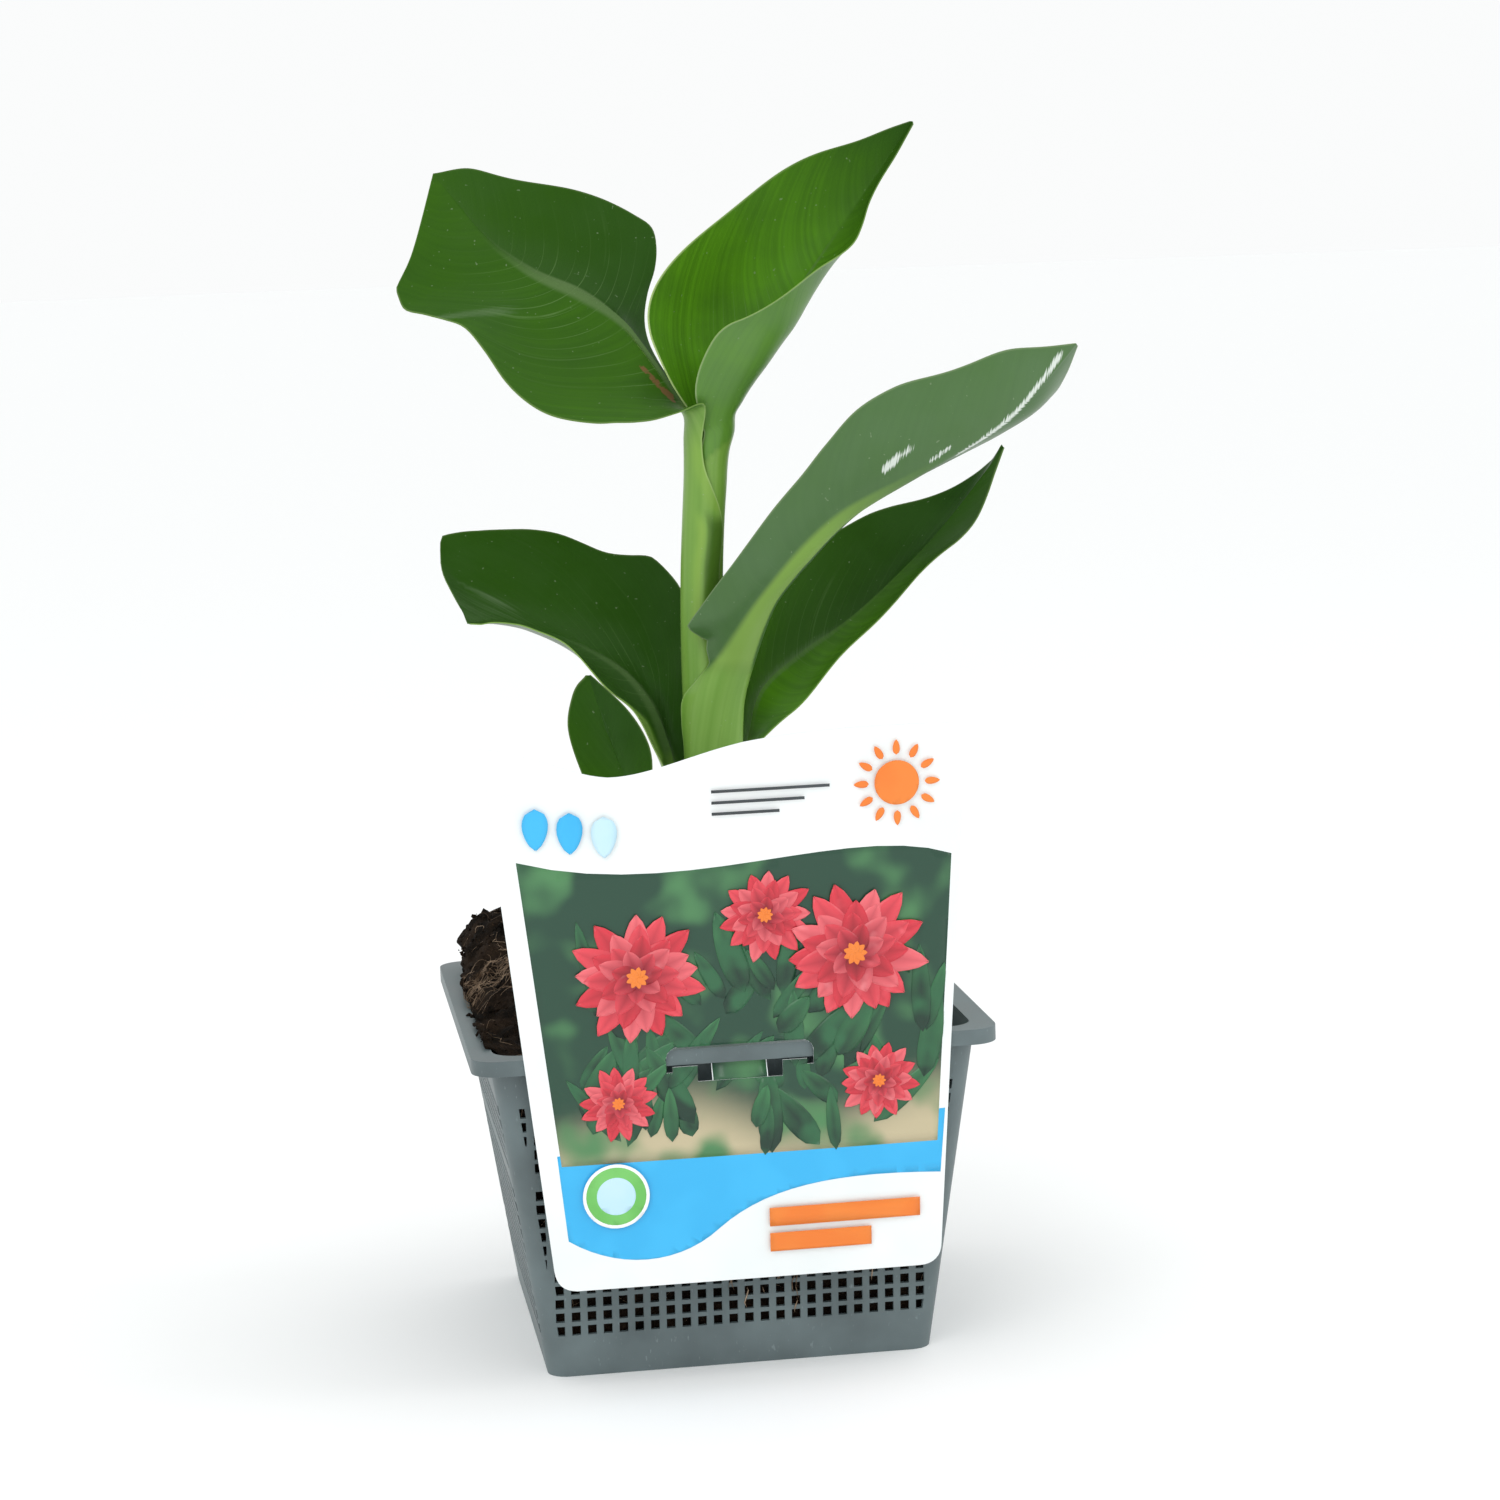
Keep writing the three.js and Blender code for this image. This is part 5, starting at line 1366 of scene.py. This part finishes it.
class LabelPrint:
    """The label's printed shapes. Each later shape lies on top of the earlier ones."""

    def __init__(self, settings):
        self.settings = settings
        self.bm = bmesh.new()
        self.shade = self.bm.verts.layers.float.new("shade")
        self.lift = PRINT_LIFT
        self.materials = []

    def ink(self, material):
        """The place of an ink in the print's list of materials."""
        if material not in self.materials:
            self.materials.append(material)
        return self.materials.index(material)

    def shape(self, loops, material, shade=None):
        """Prints one shape from its loops of points."""
        faces = flat_sheet(self.bm, loops)
        verts = {vert for face in faces for vert in face.verts}
        for vert in verts:
            vert[self.shade] = shade(vert.co) if shade else 0.0
            vert.co = on_label(vert.co, self.settings, self.lift)
        for face in faces:
            face.material_index = self.ink(material)
        self.lift += 0.008

    def petal(self, x, z, angle, length, width, material, dim=0.0):
        """Prints one petal or leaf that points away from a place, darker at its base and fold."""
        made = bmesh.ops.create_grid(self.bm, x_segments=4, y_segments=8, size=0.5)
        out = Vector((math.cos(angle), 0, math.sin(angle)))
        side = Vector((-out.z, 0, out.x))
        for vert in made["verts"]:
            across, far = vert.co.x * 2, vert.co.y + 0.5
            fold = 0.25 * (1 - smooth(0.0, 0.35, abs(across)))
            rim = 0.3 * smooth(0.55, 1.0, abs(across)) * smooth(0.3, 0.8, far)
            vert[self.shade] = min(max(far ** 0.7 - fold + rim - dim, 0.0), 1.0)
            wide = width * across * math.sin(math.pi * min(far, 0.999) ** 0.75) ** 0.62
            notch = 0.05 * length * far * (1 - abs(across))
            flat = Vector((x, 0, z)) + out * (length * far - notch) + side * wide
            vert.co = on_label(flat, self.settings, self.lift)
        for face in {f for vert in made["verts"] for f in vert.link_faces}:
            face.material_index = self.ink(material)
        self.lift += 0.004

    def open_slot(self):
        """Cuts every printed shape back to the edges of the slot."""
        faces = [face for face in self.bm.faces if 105 < face.calc_center_median().z < 132]
        for left, foot, right, top in SLOT_BOXES:
            for at, normal in ((left, ACROSS), (right, ACROSS), (foot, UP), (top, UP)):
                faces = cut_at(self.bm, faces, Vector(normal) * at, normal)
        # The rounded top corners are cut along three lines that touch each arc.
        touching = []
        for side in (-1, 1):
            centre = Vector((side * (SLOT_BOXES[0][2] - SLOT_CORNER), 0, SLOT_TOP - SLOT_CORNER))
            for angle in (22.5, 45.0, 67.5):
                turn = math.radians(angle)
                out = Vector((side * math.cos(turn), 0, math.sin(turn)))
                touching.append((centre + out * SLOT_CORNER, out))
        for point, out in touching:
            faces = cut_at(self.bm, faces, point, out)
        inside = []
        for face in faces:
            middle = face.calc_center_median()
            in_box = any(left < middle.x < right and foot < middle.z < top
                         for left, foot, right, top in SLOT_BOXES)
            if in_box and all((middle - point).dot(out) < 0 for point, out in touching):
                inside.append(face)
        bmesh.ops.delete(self.bm, geom=inside, context="FACES")


class CANNA_OT_label(bpy.types.Operator):
    """Build the care label and its generic print"""

    bl_idname = "canna.label"
    bl_label = "Care label"

    def execute(self, context):
        settings = context.scene.canna_label
        thickness = settings.thickness / MM
        bm = bmesh.new()
        flat_sheet(bm, [label_outline(), slot_outline()])
        for vert in bm.verts:
            vert.co = on_label(vert.co, settings)
        tab_sheet(bm, settings, TAB_HALF)
        face_front(bm.faces)
        thicken(bm, lambda vert: thickness)
        finish_piece("care_label_film", bm, [label_film(settings)], "care_label",
                     crease=50.0)
        self.make_print(settings)
        return {"FINISHED"}

    def blossom(self, sheet, rng, x, z, size, corals, heart):
        """A round double flower: rings of petals that get shorter and darker towards its heart."""
        rings = ((13, 1.0, 0.21), (11, 0.82, 0.2), (9, 0.62, 0.18), (7, 0.42, 0.15))
        for ring, (count, reach, wide) in enumerate(rings):
            start = rng.uniform(0, math.tau)
            for k in range(count):
                angle = start + (k + rng.uniform(-0.18, 0.18)) / count * math.tau
                sheet.petal(x, z, angle, size * reach * rng.uniform(0.9, 1.06), size * wide,
                            corals[(k + ring) % len(corals)], dim=0.12 * ring)
        for k in range(9):
            angle = k / 9 * math.tau
            sheet.petal(x, z, angle, size * 0.17, size * 0.05, heart)

    def make_print(self, settings):
        """A plain garden picture: coral flowers over leaves, a sky band, a sun and three drops."""
        sheet = LabelPrint(settings)
        rng = random.Random(SEED)
        meadow = print_ink("ink_meadow_blurred", "#1f4634", "#cdbf9c", "#4d8554", 22.0,
                           (0.48, 0.72))
        sky = print_ink("ink_sky_blue", "#35b4ee", "#35b4ee", "#3ab9f2")
        orange = print_ink("ink_orange", "#ef7d28", "#ef7d28", "#f0842f")
        green = print_ink("ink_leaf_green", "#6cbf5c", "#8bd67c", "#7ccb6c")
        white = print_ink("ink_white", "#fbfdfd", "#fbfdfd", "#f6fafa")
        ice = print_ink("ink_ice_blue", "#bfe6f6", "#bfe6f6", "#c7e9f8")
        grey = print_ink("ink_dark_grey", "#3a4043", "#3a4043", "#42494c")
        corals = [print_ink(f"ink_coral_{k}", inner, outer, mottle, 7.0, (0.6, 0.95))
                  for k, (inner, outer, mottle) in enumerate((
                      ("#8e1226", "#ea4a57", "#f2707a"), ("#9c1a2e", "#f06c74", "#f69398"),
                      ("#86101f", "#dd3646", "#e85562")))]
        deep = print_ink("ink_deep_leaf", "#123526", "#3a7a4b", "#2b6440", 12.0)

        # A sky band that swings across the foot of the label.
        sheet.shape([path((-63.5, 56), [(-46, 44), (-24, 44), (-9, 57)],
                          [(8, 71), (32, 75), (72, 72)], (74, 96), (-66.5, 88))], sky)
        # The picture panel runs round the slot.
        sheet.shape([path((-65, 84), (71, 84), (77.5, 190), [(40, 204), (-20, 178), (-77, 196)])],
                    meadow,
                    shade=lambda p: 0.9 * (1 - smooth(84, 112, p.z + 7 * math.sin(p.x / 15))))
        for _ in range(64):
            x, z = rng.uniform(-60, 70), rng.uniform(84, 150)
            sheet.petal(x, z - 2, rng.uniform(0.7, 2.4), rng.uniform(16, 34), rng.uniform(2.5, 5),
                        deep, dim=rng.uniform(0, 0.5))
        flowers = ((50, 108, 15), (-44, 106, 14), (10, 172, 17), (-36, 152, 24), (42, 156, 26))
        for x, z, size in flowers:
            self.blossom(sheet, rng, x, z, size, corals, orange)
        # A sun with its rays for the light, and drops for the water.
        sheet.shape([ring_of(58, 217, 8)], orange)
        for k in range(12):
            angle = k / 12 * math.tau
            sheet.petal(58 + 10 * math.cos(angle), 217 + 10 * math.sin(angle), angle, 5.5, 1.3,
                        orange)
        for k, (x, ink) in enumerate(((-70, sky), (-58, sky), (-46, ice))):
            sheet.petal(x, 215 - 2 * k, -math.pi / 2, 15, 4.6, ink)
        # A plain green badge with a pale middle.
        sheet.shape([ring_of(-46, 72, 12)], white)
        sheet.shape([ring_of(-46, 72, 10.8)], green)
        sheet.shape([ring_of(-46, 72, 7)], ice)
        # Plain blocks and rules.
        for foot, right in ((56.5, 64), (47, 46)):
            sheet.shape([path((9, foot), (right, foot), (right, foot + 7), (9, foot + 7))], orange)
        for k in range(3):
            right, foot = 34 - 9 * k, 217 - 4 * k
            sheet.shape([path((-8, foot), (right, foot), (right, foot + 1.1), (-8, foot + 1.1))],
                        grey)
        sheet.open_slot()
        # The tab carries a piece of the picture, and its cut edges stay white.
        for face in tab_sheet(sheet.bm, settings, TAB_HALF - 0.3, PRINT_LIFT):
            face.material_index = sheet.ink(meadow)
        face_front(sheet.bm.faces)
        thicken(sheet.bm, lambda vert: 0.02)
        finish_piece("care_label_print", sheet.bm, sheet.materials)


# ---- Stage ----

# How far to the right of the pot's middle and how high up the camera aims, in millimetres.
AIM_RIGHT = 21.1
AIM_HEIGHT = 217.6


class StageSettings(bpy.types.PropertyGroup):
    """Camera and lights."""

    azimuth: FloatProperty(name="Azimuth",
                           description="Camera's turn round the plant, 0 looks along +Y",
                           default=math.radians(-8.0), subtype="ANGLE")
    elevation: FloatProperty(name="Elevation", description="Camera's height above the horizon",
                             default=math.radians(8.0), subtype="ANGLE")
    roll: FloatProperty(name="Roll", description="Camera's tilt to the side",
                        default=math.radians(2.16), subtype="ANGLE")
    distance: FloatProperty(name="Distance", description="From the camera to its target",
                            default=1.4145, unit="LENGTH")
    lens: FloatProperty(name="Lens", description="Focal length in millimetres", default=90.0)
    key: FloatProperty(name="Key light", description="Power of the large front light", default=8.0)
    fill: FloatProperty(name="Fill light", description="Power of the right-hand light", default=5.0)
    sky: FloatProperty(name="Room light", description="Strength of the even light all round",
                       default=0.98)


class CANNA_OT_stage(bpy.types.Operator):
    """Set up the floor, the lights and the camera"""

    bl_idname = "canna.stage"
    bl_label = "Stage"

    def execute(self, context):
        scene = context.scene
        settings = scene.canna_stage
        self.add_floor()
        world = bpy.data.worlds.new("soft_room")
        scene.world = world
        world.use_nodes = True
        world.node_tree.nodes.clear()
        back = add_node(world.node_tree, "Background", {"Color": "#fdfefe",
                                                        "Strength": settings.sky})
        add_node(world.node_tree, "OutputWorld", {"Surface": back})
        target = Vector((0.01, 0.0, 0.22))
        for name, place, size, power in (
                ("key_softbox", Vector((-0.9, -1.5, 1.5)), 1.1, settings.key),
                ("fill_softbox", Vector((1.5, -0.3, 1.2)), 0.9, settings.fill)):
            light = bpy.data.lights.new(name, "AREA")
            light.shape = "SQUARE"
            light.size = size
            light.energy = power
            lamp = bpy.data.objects.new(name, light)
            lamp.location = place
            lamp.rotation_mode = "QUATERNION"
            lamp.rotation_quaternion = (target - place).to_track_quat("-Z", "Y")
            scene.collection.objects.link(lamp)
        self.add_camera(scene, settings)
        scene.view_settings.view_transform = "Standard"
        return {"FINISHED"}

    def add_floor(self):
        """A wide, plain, pale floor."""
        material, tree = new_material("floor_matte_white")
        shader = add_node(tree, "BsdfPrincipled", {"Base Color": "#fafbfb", "Roughness": 0.9,
                                                   "Specular IOR Level": 0.1,
                                                   "Emission Color": "#ffffff",
                                                   "Emission Strength": 0.045})
        add_node(tree, "OutputMaterial", {"Surface": shader})
        bm = bmesh.new()
        bmesh.ops.create_circle(bm, cap_ends=True, segments=96, radius=30.0)
        floor = add_object("studio_floor", bm, [material])

    def add_camera(self, scene, settings):
        """The camera, a little to the left of the front and slightly above."""
        azimuth, elevation = settings.azimuth, settings.elevation
        flat = math.cos(elevation)
        back = Vector((math.sin(azimuth) * flat, -math.cos(azimuth) * flat, math.sin(elevation)))
        right = (-back).cross(Vector((0, 0, 1))).normalized()
        up = right.cross(-back)
        straight, tilted = math.cos(settings.roll), math.sin(settings.roll)
        across = right * straight - up * tilted
        above = up * straight + right * tilted
        target = across * AIM_RIGHT * MM + Vector((0, 0, AIM_HEIGHT * MM))
        data = bpy.data.cameras.new("camera")
        data.lens = settings.lens
        data.sensor_width = 36.0
        data.clip_start, data.clip_end = 0.05, 100.0
        camera = bpy.data.objects.new("camera", data)
        turn = Matrix((across, above, back)).transposed().to_4x4()
        camera.matrix_world = Matrix.Translation(target + back * settings.distance) @ turn
        scene.collection.objects.link(camera)
        scene.camera = camera


# ---- Panel and registration ----

class CANNA_PT_panel(bpy.types.Panel):
    """The sizes, the colours and the build buttons"""

    bl_idname = "CANNA_PT_panel"
    bl_label = "Potted canna lily"
    bl_space_type = "VIEW_3D"
    bl_region_type = "UI"
    bl_category = "Canna"

    def draw(self, context):
        for group, operator in STEPS:
            box = self.layout.box()
            box.operator(operator)
            settings = getattr(context.scene, group)
            for name in settings.bl_rna.properties.keys():
                if name not in ("rna_type", "name"):
                    box.prop(settings, name)


STEPS = (("canna_pot", "canna.pot"), ("canna_soil", "canna.soil"), ("canna_plant", "canna.stem"),
         ("canna_plant", "canna.leaves"), ("canna_label", "canna.label"),
         ("canna_stage", "canna.stage"))
GROUPS = {"canna_pot": PotSettings, "canna_soil": SoilSettings, "canna_plant": PlantSettings,
          "canna_label": LabelSettings, "canna_stage": StageSettings}
CLASSES = (*GROUPS.values(), CANNA_OT_pot, CANNA_OT_soil, CANNA_OT_stem, CANNA_OT_leaves,
           CANNA_OT_label, CANNA_OT_stage, CANNA_PT_panel)


def register():
    """Makes the settings, the operators and the panel known."""
    for known in CLASSES:
        bpy.utils.register_class(known)
    for name, group in GROUPS.items():
        setattr(bpy.types.Scene, name, PointerProperty(type=group))


def unregister():
    """Takes them away again."""
    for name in GROUPS:
        delattr(bpy.types.Scene, name)
    for known in reversed(CLASSES):
        bpy.utils.unregister_class(known)


def main():
    """Builds the plant, the pot, the label and the stage."""
    register()
    for _, operator in STEPS:
        group, name = operator.split(".")
        getattr(getattr(bpy.ops, group), name)()


if __name__ == "__main__":
    main()
